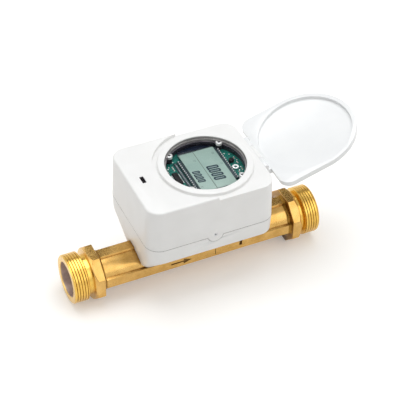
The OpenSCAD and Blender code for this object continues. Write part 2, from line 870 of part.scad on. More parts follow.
// The lid as it lies when closed on the ledge
module closed_lid() {
    arm_from = mid_knuckle / 2 + knuckle_gap;
    arm_len = hinge_len / 2 - arm_from;
    difference() {
        union() {
            difference() {
                translate([window_x, 0, lid_under_z])
                    linear_extrude(lid_top_z - lid_under_z) lid_outline();
                translate([window_x, 0, 0]) cylinder(h = lid_ceiling_z, r = lid_hole_r);
            }
            for (side = [-1, 1]) {
                y = side > 0 ? arm_from : -hinge_len / 2;
                translate([window_x + lid_back - 1, y, lid_under_z])
                    cube([hinge_x + knuckle_r - window_x - lid_back + 1, arm_len, lid_top_z - lid_under_z]);
                translate([hinge_x - arm_in, y, hinge_z])
                    cube([arm_in + knuckle_r, arm_len, lid_top_z - hinge_z]);
                on_hinge(y, y + arm_len, knuckle_r);
            }
        }
        on_hinge(-hinge_len, hinge_len, hinge_pin_r + pin_clear);
    }
}

module lid() {
    color("white") translate([hinge_x, 0, hinge_z]) rotate([0, lid_open, 0])
        translate([-hinge_x, 0, -hinge_z]) closed_lid();
}

flow_tube();
measuring_liner();
inlet_reflector();
outlet_reflector();
inlet_transducer();
outlet_transducer();
transducer_seals();
gland_nuts();
transducer_leads();
lower_housing();
seat_screws();
housing_gasket();
upper_housing();
seal_screw();
infrared_port();
battery();
battery_cradle();
battery_leads();
circuit_board();
board_chip();
board_capacitor();
board_coil();
display_glass();
pin_headers();
display_pins();
display_bezel();
display_screws();
pane_seal();
window_pane();
hinge_pin();
lid();
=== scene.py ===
"""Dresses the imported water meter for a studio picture.

The frame holds the meter at its real size. This script adds the finish of every surface and
the detail that the solids leave out: the helix of the pipe threads, cast and moulded edges,
the parts on the display board and the digits on the display.
"""

import logging
import math
from dataclasses import dataclass, field
from enum import Enum
from typing import Sequence, Union

import bmesh
import bpy
import numpy as np
from mathutils import Matrix, Vector


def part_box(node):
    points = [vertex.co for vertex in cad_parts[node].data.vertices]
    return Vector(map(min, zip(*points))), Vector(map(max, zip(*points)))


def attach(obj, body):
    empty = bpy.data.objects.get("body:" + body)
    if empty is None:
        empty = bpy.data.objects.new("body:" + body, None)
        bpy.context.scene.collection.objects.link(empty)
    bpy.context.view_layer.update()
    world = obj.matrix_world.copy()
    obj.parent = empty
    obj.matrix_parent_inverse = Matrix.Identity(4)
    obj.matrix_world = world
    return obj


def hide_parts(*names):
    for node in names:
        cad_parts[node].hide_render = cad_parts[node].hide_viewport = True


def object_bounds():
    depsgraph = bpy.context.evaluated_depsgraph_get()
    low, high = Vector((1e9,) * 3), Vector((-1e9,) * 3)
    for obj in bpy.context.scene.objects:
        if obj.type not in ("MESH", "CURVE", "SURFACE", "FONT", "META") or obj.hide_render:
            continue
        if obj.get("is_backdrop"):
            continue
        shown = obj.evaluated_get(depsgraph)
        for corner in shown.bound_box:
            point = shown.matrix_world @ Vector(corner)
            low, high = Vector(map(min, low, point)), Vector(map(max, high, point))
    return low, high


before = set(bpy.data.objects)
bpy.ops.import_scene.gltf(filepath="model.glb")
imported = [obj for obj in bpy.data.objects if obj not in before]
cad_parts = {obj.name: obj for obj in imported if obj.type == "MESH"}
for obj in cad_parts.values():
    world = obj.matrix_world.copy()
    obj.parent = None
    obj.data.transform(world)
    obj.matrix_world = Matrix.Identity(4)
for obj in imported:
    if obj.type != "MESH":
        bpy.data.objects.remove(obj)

LOG = logging.getLogger("water_meter")
MM = 0.001
SHARP_DEG = 35.0
RIM_DEG = 34.4
FLAT_DEG = 0.4
SAME_MM = 0.0005
SAME_SOLID_MM = 0.002
LEVEL_MM = 0.01
DRAFT_STEPS = 2
SOLID_STEPS = 3
RIM_STEPS = 5
RIM_REACH = 0.05

Colour = tuple[float, float, float]
Point = tuple[float, float, float]
Flat = tuple[float, float]
Socket = bpy.types.NodeSocket
Feed = Union[Socket, float, int, tuple]


class Body(Enum):
    """The two bodies that pieces ride on."""

    METER = "meter"
    LID = "lid"


class Lay(Enum):
    """How a metal surface was worked."""

    CAST = "cast"
    TURNED = "turned"
    DRAWN = "drawn"


class Skin(Enum):
    """Surfaces of the brass tube, counted as its finishes are."""

    CAST = 0
    TURNED = 1
    BORE = 2
    # The collars' inner faces and fillets, which take painted shade.
    SHADED = 3


class NodeTree:
    """A tree of shader or geometry nodes that grows node by node."""

    def __init__(self, tree: bpy.types.NodeTree) -> None:
        """Takes on a tree."""
        self.tree = tree

    def add(self, kind: str, feeds: dict[str, Feed], **settings: object) -> bpy.types.Node:
        """Adds a node.

        Args:
            kind: Blender's name of the node type.
            feeds: Values or sockets for the node's inputs, by name.
            settings: Values for the node's own properties.

        Returns:
            The new node.
        """
        node = self.tree.nodes.new(kind)
        for key, value in settings.items():
            setattr(node, key, value)
        for key, value in feeds.items():
            self.feed(node.inputs[key], value)
        return node

    def feed(self, socket: Socket, value: Feed) -> None:
        """Feeds an input.

        Args:
            socket: The input.
            value: Socket that feeds it, or its constant.
        """
        if isinstance(value, bpy.types.NodeSocket):
            self.tree.links.new(value, socket)
        else:
            socket.default_value = value

    def math(self, operation: str, *values: Feed) -> Socket:
        """Adds a math node.

        Args:
            operation: Blender's name of the operation.
            values: Values or sockets, in order.

        Returns:
            The result.
        """
        node = self.add("ShaderNodeMath", {}, operation=operation)
        for socket, value in zip(node.inputs, values):
            self.feed(socket, value)
        return node.outputs["Value"]

    def span(self, source: Socket, low: float, high: float, window: tuple[Feed, Feed] = (0.3, 0.7),
             ease: str = "LINEAR") -> Socket:
        """Maps a value onto a range.

        Args:
            source: The value.
            low: Result at the window's lower end.
            high: Result at the window's upper end.
            window: The values that are spread over the range.
            ease: Blender's name of the curve between the ends.

        Returns:
            The mapped value.
        """
        return self.add("ShaderNodeMapRange", {
            "Value": source, "From Min": window[0], "From Max": window[1],
            "To Min": low, "To Max": high}, interpolation_type=ease).outputs["Result"]


class Shader(NodeTree):
    """Node tree of one material that ends in a Principled shader."""

    def __init__(self, name: str) -> None:
        """Makes the material and finds its shader.

        Args:
            name: Name of the material.
        """
        self.material = bpy.data.materials.new(name)
        self.material.use_nodes = True
        super().__init__(self.material.node_tree)
        self.principled = self.tree.nodes["Principled BSDF"]
        self.coordinates = self.tree.nodes.new("ShaderNodeTexCoord").outputs["Object"]

    def constants(self, **values: Feed) -> None:
        """Sets constants on the shader's own sockets, named with underscores for spaces."""
        for key, value in values.items():
            self.principled.inputs[key.replace("_", " ")].default_value = value

    def drive(self, socket: str, source: Socket) -> None:
        """Links a pattern to one of the shader's sockets."""
        self.tree.links.new(source, self.principled.inputs[socket])

    def noise(self, size_mm: float, detail: float = 2.0, stretch: Point = (1.0, 1.0, 1.0)) -> Socket:
        """Makes a noise pattern.

        Args:
            size_mm: Size of its patches.
            detail: Octaves of finer noise.
            stretch: Length of the patches along each axis, as a factor.

        Returns:
            The pattern, from 0 to 1.
        """
        scale = tuple(1.0 / factor for factor in stretch)
        mapping = self.add("ShaderNodeMapping", {"Vector": self.coordinates, "Scale": scale})
        texture = self.add("ShaderNodeTexNoise", {
            "Vector": mapping.outputs["Vector"], "Scale": 1.0 / (size_mm * MM), "Detail": detail})
        return texture.outputs["Fac"]

    def shades(self, source: Socket, stops: Sequence[tuple[float, Colour]]) -> Socket:
        """Colours a pattern.

        Args:
            source: The pattern.
            stops: The two places from 0 to 1 and the colour at each.

        Returns:
            The coloured pattern.
        """
        ramp = self.add("ShaderNodeValToRGB", {"Fac": source})
        for element, (place, colour) in zip(ramp.color_ramp.elements, stops):
            element.position = place
            element.color = (*colour, 1.0)
        return ramp.outputs["Color"]

    def paint_corner_shade(self, colour: Socket, corner_shade: Colour, reach_mm: float, strength: float) -> Socket:
        """Paints shade into a colour in corners and grooves, where ambient occlusion finds nearby surfaces.

        Args:
            colour: The clean colour.
            corner_shade: Colour in the deepest corners.
            reach_mm: How far from a corner it shows.
            strength: How much of the painted shade is mixed in at most.

        Returns:
            The colour with the painted shade.
        """
        nearby = self.add("ShaderNodeAmbientOcclusion", {"Distance": reach_mm * MM}, samples=8)
        share = self.span(nearby.outputs["AO"], strength, 0.0, (0.45, 0.95))
        mixed = self.add("ShaderNodeMix", {}, data_type="RGBA")
        for socket, value in zip((mixed.inputs[0], mixed.inputs[6], mixed.inputs[7]),
                                 (share, colour, (*corner_shade, 1.0))):
            self.feed(socket, value)
        return mixed.outputs[2]

    def relief(self, height: Socket, depth_mm: float, strength: float = 1.0) -> None:
        """Adds a relief on top of any earlier one.

        Args:
            height: Pattern of the relief.
            depth_mm: Depth from its lowest to its highest point.
            strength: How strongly it shows.
        """
        normal = self.principled.inputs["Normal"]
        feeds: dict[str, Feed] = {"Height": height, "Distance": depth_mm * MM, "Strength": strength}
        if normal.is_linked:
            feeds["Normal"] = normal.links[0].from_socket
        self.drive("Normal", self.add("ShaderNodeBump", feeds).outputs["Normal"])


@dataclass(frozen=True)
class Finish:
    """A surface finish that is made once and shared by pieces."""

    name: str

    @property
    def material(self) -> bpy.types.Material:
        """The finish's material, made on first use under a name that the frame doesn't use.

        Returns:
            The material.
        """
        label = f"{self.name}_finish"
        if label not in bpy.data.materials:
            self.paint(Shader(label))
        return bpy.data.materials[label]

    def paint(self, shader: Shader) -> None:
        """Sets up the material's nodes.

        Args:
            shader: The material's node tree.
        """
        raise NotImplementedError


@dataclass(frozen=True)
class Moulding(Finish):
    """Moulded plastic or rubber with a fine grain and slight clouding."""

    colour: Colour
    cloud: Colour
    roughness: Flat = (0.36, 0.46)
    cloud_mm: float = 22.0
    grain_mm: float = 0.35
    grain_depth: float = 0.012
    specular: float = 0.5

    def paint(self, shader: Shader) -> None:
        """Sets up the material's nodes.

        Args:
            shader: The material's node tree.
        """
        clouds = shader.noise(self.cloud_mm, 3.0)
        grain = shader.noise(self.grain_mm, 2.0)
        shader.drive("Base Color", shader.shades(clouds, [(0.35, self.colour), (0.65, self.cloud)]))
        shader.drive("Roughness", shader.span(grain, *self.roughness))
        shader.relief(grain, self.grain_depth)
        shader.constants(Specular_IOR_Level=self.specular)


@dataclass(frozen=True)
class Metal(Finish):
    """Metal with patches of tone, the marks of how it was worked and, where set, painted shade in corners and
    grooves.
    """

    light: Colour
    dark: Colour
    lay: Lay
    roughness: Flat = (0.28, 0.42)
    patch_mm: float = 9.0
    grain_mm: float = 0.5
    grain_depth: float = 0.03
    corner_shade: Colour = (0.0, 0.0, 0.0)
    corner_shade_share: float = 0.0
    corner_shade_mm: float = 3.0
    lacquer: float = 0.0

    def paint(self, shader: Shader) -> None:
        """Sets up the material's nodes.

        Args:
            shader: The material's node tree.
        """
        patches = shader.noise(self.patch_mm, 4.0)
        stretch = {Lay.CAST: (1.0, 1.0, 1.0), Lay.TURNED: (0.3, 40.0, 40.0), Lay.DRAWN: (1.0, 40.0, 1.0)}
        grain = shader.noise(self.grain_mm, 3.0, stretch[self.lay])
        colour = shader.shades(patches, [(0.3, self.dark), (0.7, self.light)])
        # Painted shade: a darker colour is mixed in where corners and grooves lie close.
        if self.corner_shade_share:
            colour = shader.paint_corner_shade(colour, self.corner_shade, self.corner_shade_mm, self.corner_shade_share)
        shader.drive("Base Color", colour)
        shader.drive("Roughness", shader.span(grain, *self.roughness))
        shader.relief(grain, self.grain_depth)
        shader.constants(Metallic=1.0, Coat_Weight=self.lacquer, Coat_Roughness=0.2)


@dataclass(frozen=True)
class SolderMask(Finish):
    """Green board lacquer over copper, with the copper's faint outline."""

    bare: Colour = (0.008, 0.15, 0.12)
    over_copper: Colour = (0.016, 0.225, 0.175)
    track_mm: float = 1.3
    track_depth: float = 0.01
    roughness: Flat = (0.22, 0.34)
    grain_mm: float = 0.5
    lacquer: float = 0.3

    def paint(self, shader: Shader) -> None:
        """Sets up the material's nodes.

        Args:
            shader: The material's node tree.
        """
        copper = shader.add("ShaderNodeTexVoronoi", {
            "Vector": shader.coordinates, "Scale": 1.0 / (self.track_mm * MM)},
            distance="MANHATTAN").outputs["Distance"]
        grain = shader.noise(self.grain_mm)
        shader.drive("Base Color", shader.shades(copper, [(0.42, self.over_copper), (0.55, self.bare)]))
        shader.drive("Roughness", shader.span(grain, *self.roughness))
        shader.relief(copper, self.track_depth, 0.4)
        shader.constants(Coat_Weight=self.lacquer, Coat_Roughness=0.12)


@dataclass(frozen=True)
class CrystalFilm(Finish):
    """Grey-green film of a reflective liquid crystal display."""

    light: Colour = (0.37, 0.51, 0.455)
    dark: Colour = (0.315, 0.455, 0.41)
    roughness: Flat = (0.28, 0.4)
    cloud_mm: float = 16.0
    grain_mm: float = 0.12
    grain_depth: float = 0.002

    def paint(self, shader: Shader) -> None:
        """Sets up the material's nodes.

        Args:
            shader: The material's node tree.
        """
        clouds = shader.noise(self.cloud_mm, 2.0)
        grain = shader.noise(self.grain_mm, 1.0)
        shader.drive("Base Color", shader.shades(clouds, [(0.35, self.dark), (0.65, self.light)]))
        shader.drive("Roughness", shader.span(grain, *self.roughness))
        shader.relief(grain, self.grain_depth)


@dataclass(frozen=True)
class ClearSheet(Finish):
    """Clear glass or plastic, with faint unevenness of its surface."""

    tint: Colour = (0.02, 0.03, 0.03)
    pale_tint: Colour = (0.03, 0.04, 0.04)
    roughness: Flat = (0.02, 0.05)
    ripple_mm: float = 14.0
    ripple_depth: float = 0.004
    density: float = 0.03
    gloss: float = 0.12

    def paint(self, shader: Shader) -> None:
        """Sets up the material's nodes.

        Args:
            shader: The material's node tree.
        """
        ripple = shader.noise(self.ripple_mm, 1.0)
        shader.drive("Roughness", shader.span(ripple, *self.roughness))
        shader.drive("Base Color", shader.shades(ripple, [(0.3, self.tint), (0.7, self.pale_tint)]))
        shader.relief(ripple, self.ripple_depth)
        shader.constants(Alpha=self.density, IOR=1.49, Specular_IOR_Level=self.gloss)


# The brown below, with the share and reach set on each brass, is painted shade in corners, grooves and thread
# roots.
BROWN_CORNER_SHADE = (0.2, 0.085, 0.012)
CAST_BRASS = Metal("cast_brass", (0.74, 0.455, 0.14), (0.58, 0.33, 0.08), Lay.CAST, (0.2, 0.32),
                   grain_depth=0.018, corner_shade=BROWN_CORNER_SHADE, corner_shade_share=0.6, corner_shade_mm=4.0, lacquer=0.25)
TURNED_BRASS = Metal("turned_brass", (0.83, 0.54, 0.115), (0.72, 0.43, 0.075), Lay.TURNED, (0.2, 0.32),
                     grain_depth=0.02, corner_shade=BROWN_CORNER_SHADE, corner_shade_share=0.1, corner_shade_mm=1.6, lacquer=0.35)
# Pale brass in the mouth and bore, lighter than the brass outside so that the dim bore looks lit: painted
# light.
LIT_BORE_BRASS = Metal("bore_brass", (0.84, 0.71, 0.65), (0.72, 0.6, 0.55), Lay.TURNED, (0.35, 0.5),
                   grain_depth=0.02)
# Dark brown brass on the collars' inner faces and fillets: painted shade, a shaded copy of the cast brass.
PAINTED_SHADE_BRASS = Metal("shaded_brass", (0.46, 0.25, 0.05), (0.34, 0.17, 0.028), Lay.CAST, (0.22, 0.34),
                     corner_shade=(0.1, 0.04, 0.004), corner_shade_share=0.95, corner_shade_mm=9.0)
# Dark brass for the sunk arrow and casting marks: painted shade in their recesses.
SUNK_SHADE_BRASS = Metal("dull_brass", (0.26, 0.15, 0.05), (0.17, 0.09, 0.028), Lay.CAST, (0.5, 0.65))
# Near-black steel inside the screw sockets: painted shade in the recesses.
SOCKET_SHADE_STEEL = Metal("blackened_steel", (0.09, 0.09, 0.095), (0.05, 0.05, 0.055), Lay.CAST, (0.3, 0.45),
                    2.0, 0.3, 0.01)
STEEL = Metal("plain_steel", (0.66, 0.66, 0.67), (0.5, 0.5, 0.51), Lay.CAST, (0.22, 0.36), 3.0, 0.3, 0.01)
BRIGHT_STEEL = Metal("bright_steel", (0.9, 0.9, 0.9), (0.8, 0.8, 0.81), Lay.CAST, (0.4, 0.5), 3.0, 0.3, 0.01)
PIN_STEEL = Metal("drawn_steel", (0.66, 0.66, 0.67), (0.52, 0.52, 0.53), Lay.DRAWN, (0.18, 0.3),
                  3.0, 0.2, 0.008)
TINNED = Metal("tinned_copper", (0.95, 0.95, 0.95), (0.85, 0.86, 0.87), Lay.CAST, (0.4, 0.55), 1.0, 0.2, 0.01)
WORN_TIN = Metal("worn_tin", (0.4, 0.43, 0.44), (0.26, 0.29, 0.3), Lay.CAST, (0.4, 0.55), 1.0, 0.2, 0.01)
WHITE_HOUSING = Moulding("white_housing", (0.84, 0.838, 0.828), (0.815, 0.812, 0.80), (0.3, 0.4))
WHITE_LID = Moulding("white_lid", (0.845, 0.853, 0.855), (0.82, 0.83, 0.835), (0.16, 0.24), grain_depth=0.004)
LINER = Moulding("liner_plastic", (0.7, 0.7, 0.66), (0.62, 0.62, 0.58))
TRANSDUCER = Moulding("transducer_plastic", (0.08, 0.08, 0.09), (0.055, 0.055, 0.06), (0.4, 0.55))
RUBBER = Moulding("black_rubber", (0.03, 0.03, 0.031), (0.018, 0.018, 0.019), (0.55, 0.75),
                  4.0, 0.25, 0.02, 0.35)
RED_LEAD = Moulding("red_lead", (0.42, 0.03, 0.025), (0.34, 0.022, 0.02), (0.3, 0.42), 6.0)
BLACK_BEZEL = Moulding("black_bezel", (0.024, 0.02, 0.03), (0.015, 0.013, 0.021), (0.24, 0.34), 6.0)
# Lighter grey for the bezel's upward faces: a painted highlight where light falls from above.
BEZEL_TOP_HIGHLIGHT = Moulding("smoke_edge", (0.36, 0.33, 0.38), (0.29, 0.265, 0.31), (0.24, 0.34), 6.0)
# Grey of the glue around the pane, used also as painted shade on the wall under the pane and in the seam
# between the housing halves, and as the grey of the pane's seal.
GLUE_AND_SHADE = Moulding("glue_line", (0.36, 0.342, 0.338), (0.3, 0.285, 0.283), (0.4, 0.5), 6.0)
# Dark navy for the bar behind the display: painted shadow on the board.
NAVY_SHADOW_BAR = Moulding("navy_holder", (0.006, 0.012, 0.03), (0.004, 0.008, 0.021), (0.3, 0.42), 6.0)
SLATE_HEADER = Moulding("slate_header", (0.035, 0.06, 0.07), (0.024, 0.044, 0.052), (0.35, 0.5),
                        5.0, specular=0.3)
CHIP_EPOXY = Moulding("chip_epoxy", (0.014, 0.014, 0.016), (0.008, 0.008, 0.009), (0.45, 0.6),
                      2.0, 0.15, 0.01, 0.2)
INFRARED = Moulding("infrared_plastic", (0.006, 0.005, 0.007), (0.004, 0.003, 0.005), (0.2, 0.3),
                    6.0, specular=0.12)
SLEEVE = Moulding("battery_sleeve", (0.05, 0.2, 0.11), (0.035, 0.16, 0.085), (0.2, 0.3), 8.0)
CERAMIC = Moulding("tan_ceramic", (0.3, 0.26, 0.21), (0.24, 0.2, 0.16), (0.35, 0.5), 0.8, 0.1, 0.004)
SOLDER = Moulding("bright_solder", (0.88, 0.89, 0.9), (0.74, 0.76, 0.77), (0.2, 0.3), 1.0, 0.1, 0.004)
SEGMENT_INK = Moulding("segment_ink", (0.03, 0.05, 0.064), (0.042, 0.066, 0.082), (0.3, 0.4),
                       3.0, 0.1, 0.001, 0.2)
GHOST_INK = Moulding("ghost_ink", (0.225, 0.315, 0.31), (0.2, 0.285, 0.285), (0.3, 0.4), 3.0, 0.1, 0.001)
FAINT_INK = Moulding("faint_ink", (0.17, 0.225, 0.2), (0.2, 0.26, 0.225), (0.3, 0.4), 3.0, 0.1, 0.001)
FLAG_CLOTH = Moulding("flag_cloth", (0.06, 0.06, 0.06), (0.045, 0.045, 0.045), (0.8, 0.9), 20.0, specular=0.0)
GREEN_MASK = SolderMask("solder_mask")
CRYSTAL = CrystalFilm("crystal_film")
CELL_GLASS = Moulding("cell_glass", (0.2, 0.27, 0.25), (0.16, 0.225, 0.21), (0.06, 0.1), 8.0, 0.5, 0.0005)
CLEAR_PANE = ClearSheet("clear_pane")


class NodeTool(NodeTree):
    """A Geometry Nodes tree with named inputs that makes a plain mesh."""

    def __init__(self, name: str) -> None:
        """Starts an empty tree.

        Args:
            name: Name of the tree.
        """
        super().__init__(bpy.data.node_groups.new(name, "GeometryNodeTree"))
        self.tree.interface.new_socket("Mesh", in_out="OUTPUT", socket_type="NodeSocketGeometry")
        self.entry = self.tree.nodes.new("NodeGroupInput")
        self.names: dict[str, str] = {}

    def input(self, name: str, kind: str = "NodeSocketFloat") -> Socket:
        """Adds a named input.

        Args:
            name: Name that the input shows.
            kind: Type of the socket.

        Returns:
            The socket that gives the input's value inside the tree.
        """
        item = self.tree.interface.new_socket(name, in_out="INPUT", socket_type=kind)
        self.names[name] = item.identifier
        return self.entry.outputs[name]

    def close(self, geometry: Socket) -> None:
        """Ends the tree with plain geometry that carries the Material input.

        Args:
            geometry: What the tree has made so far.
        """
        material = self.input("Material", "NodeSocketMaterial")
        real = self.add("GeometryNodeRealizeInstances", {"Geometry": geometry})
        dressed = self.add("GeometryNodeSetMaterial", {
            "Geometry": real.outputs["Geometry"], "Material": material})
        self.add("NodeGroupOutput", {"Mesh": dressed.outputs["Geometry"]})

    def run(self, name: str, values: dict[str, object]) -> bpy.types.Mesh:
        """Runs the tree.

        Args:
            name: Name of the mesh.
            values: Values of the inputs, by their names.

        Returns:
            The finished mesh.
        """
        carrier = link(bpy.data.objects.new(name, bpy.data.meshes.new(name)))
        modifier = carrier.modifiers.new(self.tree.name, "NODES")
        modifier.node_group = self.tree
        for key, value in values.items():
            modifier[self.names[key]] = value
        return bake(carrier, name)


class Draft:
    """Closed shapes of one piece, in millimetres, before they become a mesh."""

    def __init__(self) -> None:
        """Starts an empty draft."""
        self.verts: list[Sequence[float]] = []
        self.faces: list[list[int]] = []
        self.marks: list[int] = []

    def add(self, verts: Sequence[Sequence[float]], faces: Sequence[Sequence[int]], mark: int = 0) -> "Draft":
        """Adds vertices and faces.

        Args:
            verts: Places in millimetres.
            faces: Corners of each face, counted from the first of these vertices.
            mark: Index of the material.

        Returns:
            The draft, so that calls can follow each other.
        """
        base = len(self.verts)
        self.verts.extend(verts)
        self.faces.extend([base + corner for corner in face] for face in faces)
        self.marks.extend([mark] * len(faces))
        return self

    def rings(self, rings: Sequence[np.ndarray], mark: int = 0, caps: bool = False) -> "Draft":
        """Adds a skin over a row of rings with the same number of points.

        Args:
            rings: Arrays of points, one for each ring.
            mark: Index of the material.
            caps: Whether the first and last ring are closed.

        Returns:
            The draft.
        """
        count = len(rings[0])
        faces = []
        for row in range(len(rings) - 1):
            for i in range(count):
                j = (i + 1) % count
                faces.append([row * count + i, row * count + j, (row + 1) * count + j, (row + 1) * count + i])
        if caps:
            last = (len(rings) - 1) * count
            faces.append(list(range(count)))
            faces.append([last + i for i in reversed(range(count))])
        return self.add(np.concatenate(rings).tolist(), faces, mark)

    def prism(self, outline: Sequence[Flat], low: float, high: float, mark: int = 0) -> "Draft":
        """Adds an upright prism over a flat outline.

        Args:
            outline: Corners in turn.
            low: Height of its underside.
            high: Height of its top.
            mark: Index of the material.

        Returns:
            The draft.
        """
        flat = np.array(outline, float)
        levels = [np.column_stack([flat, np.full(len(flat), z)]) for z in (low, high)]
        return self.rings(levels, mark, True)

    def box(self, low: Point, high: Point) -> "Draft":
        """Adds a box between two corners."""
        outline = [(low[0], low[1]), (high[0], low[1]), (high[0], high[1]), (low[0], high[1])]
        return self.prism(outline, low[2], high[2])

    def turned(self, profile: Sequence[Flat], around: int, centre: Flat = (0.0, 0.0)) -> "Draft":
        """Adds a shape turned about an upright axis.

        Args:
            profile: Radius and height of each ring, from one closed end to the other.
            around: Points in each ring.
            centre: Place of the axis.

        Returns:
            The draft.
        """
        angle = np.linspace(0.0, 2.0 * math.pi, around, endpoint=False)
        rings = [np.column_stack([centre[0] + r * np.cos(angle), centre[1] + r * np.sin(angle),
                                  np.full(around, z)]) for r, z in profile]
        return self.rings(rings, caps=True)

    def mesh(self, name: str, finishes: Sequence[Finish], edge: float = 0.0,
             place: Matrix = Matrix.Identity(4)) -> bpy.types.Mesh:
        """Makes the mesh in metres.

        Args:
            name: Name of the mesh.
            finishes: Finishes that the marks count.
            edge: Width of the rounding on sharp edges, in millimetres.
            place: Where the draft goes, in millimetres.

        Returns:
            The mesh.
        """
        bm = bmesh.new()
        verts = [bm.verts.new(place @ Vector(co)) for co in self.verts]
        for corners, mark in zip(self.faces, self.marks):
            bm.faces.new([verts[i] for i in corners]).material_index = mark
        bmesh.ops.remove_doubles(bm, verts=bm.verts, dist=SAME_MM)
        bmesh.ops.recalc_face_normals(bm, faces=bm.faces)
        if edge:
            round_edges(bm, edge, DRAFT_STEPS)
        bmesh.ops.scale(bm, vec=Vector((MM, MM, MM)), verts=bm.verts)
        return to_mesh(bm, name, finishes)


def link(piece: bpy.types.Object) -> bpy.types.Object:
    """Puts an object into the scene."""
    bpy.context.scene.collection.objects.link(piece)
    return piece


def discard(helper: bpy.types.Object) -> None:
    """Removes a helper object with its mesh.

    Args:
        helper: The object.
    """
    data = helper.data
    bpy.data.objects.remove(helper)
    bpy.data.meshes.remove(data)


def bake(carrier: bpy.types.Object, name: str) -> bpy.types.Mesh:
    """Makes a plain mesh of what an object's modifier gives.

    Args:
        carrier: The object, which is discarded.
        name: Name of the mesh.

    Returns:
        The mesh.
    """
    graph = bpy.context.evaluated_depsgraph_get()
    mesh = bpy.data.meshes.new_from_object(carrier.evaluated_get(graph), depsgraph=graph)
    carrier.modifiers.clear()
    discard(carrier)
    mesh.name = name
    return mesh


def round_edges(bm: bmesh.types.BMesh, width: float, steps: int, crisp: Flat = (0.0, 0.0)) -> None:
    """Rounds the sharp edges of a mesh.

    Args:
        bm: The mesh.
        width: Width of the rounding, in the mesh's own units.
        steps: Steps of the rounding.
        crisp: Lowest and highest place of the level edges that stay sharp.
    """
    sharp = [edge for edge in bm.edges
             if edge.is_manifold and edge.calc_face_angle(0.0) > math.radians(SHARP_DEG)
             and not all(crisp[0] < vert.co.z < crisp[1] for vert in edge.verts)]
    bevel(bm, sharp, width, steps)


def bevel(bm: bmesh.types.BMesh, edges: Sequence[bmesh.types.BMEdge], width: float, steps: int) -> None:
    """Rounds given edges of a mesh, in its own units."""
    bmesh.ops.bevel(bm, geom=edges, offset=width, segments=steps, profile=0.5, affect="EDGES",
                    clamp_overlap=True, loop_slide=True)


def to_mesh(bm: bmesh.types.BMesh, name: str, finishes: Sequence[Finish]) -> bpy.types.Mesh:
    """Turns a working mesh into a finished one.

    Args:
        bm: The working mesh, which is freed.
        name: Name of the mesh.
        finishes: Finishes in the order of the faces' indices.

    Returns:
        The finished mesh.
    """
    mesh = bpy.data.meshes.new(name)
    bm.to_mesh(mesh)
    bm.free()
    for finish in finishes:
        mesh.materials.append(finish.material)
    return mesh


def add_piece(mesh: bpy.types.Mesh, body: Body, replaces: Sequence[str] = (),
              smooth_deg: float = 34.0) -> bpy.types.Object:
    """Adds a finished piece to the model.

    Args:
        mesh: The piece's mesh, in the row frame.
        body: The body that it rides on.
        replaces: Solids of the frame that it stands for.
        smooth_deg: Angle up to which edges are shaded smooth.

    Returns:
        The piece.
    """
    mesh.shade_smooth()
    mesh.set_sharp_from_angle(angle=math.radians(smooth_deg))
    piece = link(bpy.data.objects.new(mesh.name, mesh))
    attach(piece, body.value)
    if replaces:
        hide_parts(*replaces)
    LOG.info("%s: %d faces on %s", piece.name, len(mesh.polygons), body.value)
    return piece


def softened(node: str, name: str, finish: Finish, edge: float, crisp: Flat = (0.0, 0.0),
             rim: tuple[float, ...] = ()) -> bpy.types.Mesh:
    """Copies a solid of the frame and rounds its sharp edges.

    Args:
        node: The solid.
        name: Name of the copy.
        finish: Its finish.
        edge: Width of the rounding, in millimetres.
        crisp: Lowest and highest place of the edges that stay sharp.
        rim: Place, radius and rounding of an upright rim whose edges are rounded more.

    Returns:
        The copy's mesh.
    """
    bm = bmesh.new()
    bm.from_mesh(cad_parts[node].data)
    bmesh.ops.remove_doubles(bm, verts=bm.verts, dist=SAME_SOLID_MM * MM)
    bmesh.ops.dissolve_limit(bm, angle_limit=math.radians(FLAT_DEG), verts=bm.verts, edges=bm.edges)
    for face in bm.faces:
        face.material_index = 0
    if rim:
        bold = [e for e in bm.edges if e.is_manifold and e.calc_face_angle(0.0) > math.radians(RIM_DEG)
                and all(on_round_wall(v, rim[:3], RIM_REACH) for v in e.verts)
                and abs(e.verts[0].co.z - e.verts[1].co.z) < LEVEL_MM * MM]
        bevel(bm, bold, rim[3] * MM, RIM_STEPS)
    round_edges(bm, edge * MM, SOLID_STEPS, tuple(level * MM for level in crisp))
    return to_mesh(bm, name, [finish])


def on_round_wall(vert: bmesh.types.BMVert, wall: tuple[float, ...], within: float) -> bool:
    """Whether a vertex lies on an upright wall of a given place and radius, in millimetres."""
    return abs(math.hypot(vert.co.x / MM - wall[0], vert.co.y / MM - wall[1]) - wall[2]) < within


def add_softened(node: str, name: str, finish: Finish, edge: float,
                 body: Body = Body.METER) -> None:
    """Adds the softened copy of a solid, which stands for that solid."""
    add_piece(softened(node, name, finish, edge), body, [node])


def dress(finish: Finish, *nodes: str) -> None:
    """Gives solids of the frame that stay in view a finish.

    Args:
        finish: The finish.
        nodes: Names of the solids.
    """
    for node in nodes:
        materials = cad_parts[node].data.materials
        materials.clear()
        materials.append(finish.material)
        LOG.info("%s: %s", node, finish.name)


def box_mm(node: str) -> tuple[np.ndarray, np.ndarray]:
    """Lowest and highest corner of a solid of the frame, in millimetres."""
    low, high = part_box(node)
    return np.array(low) / MM, np.array(high) / MM


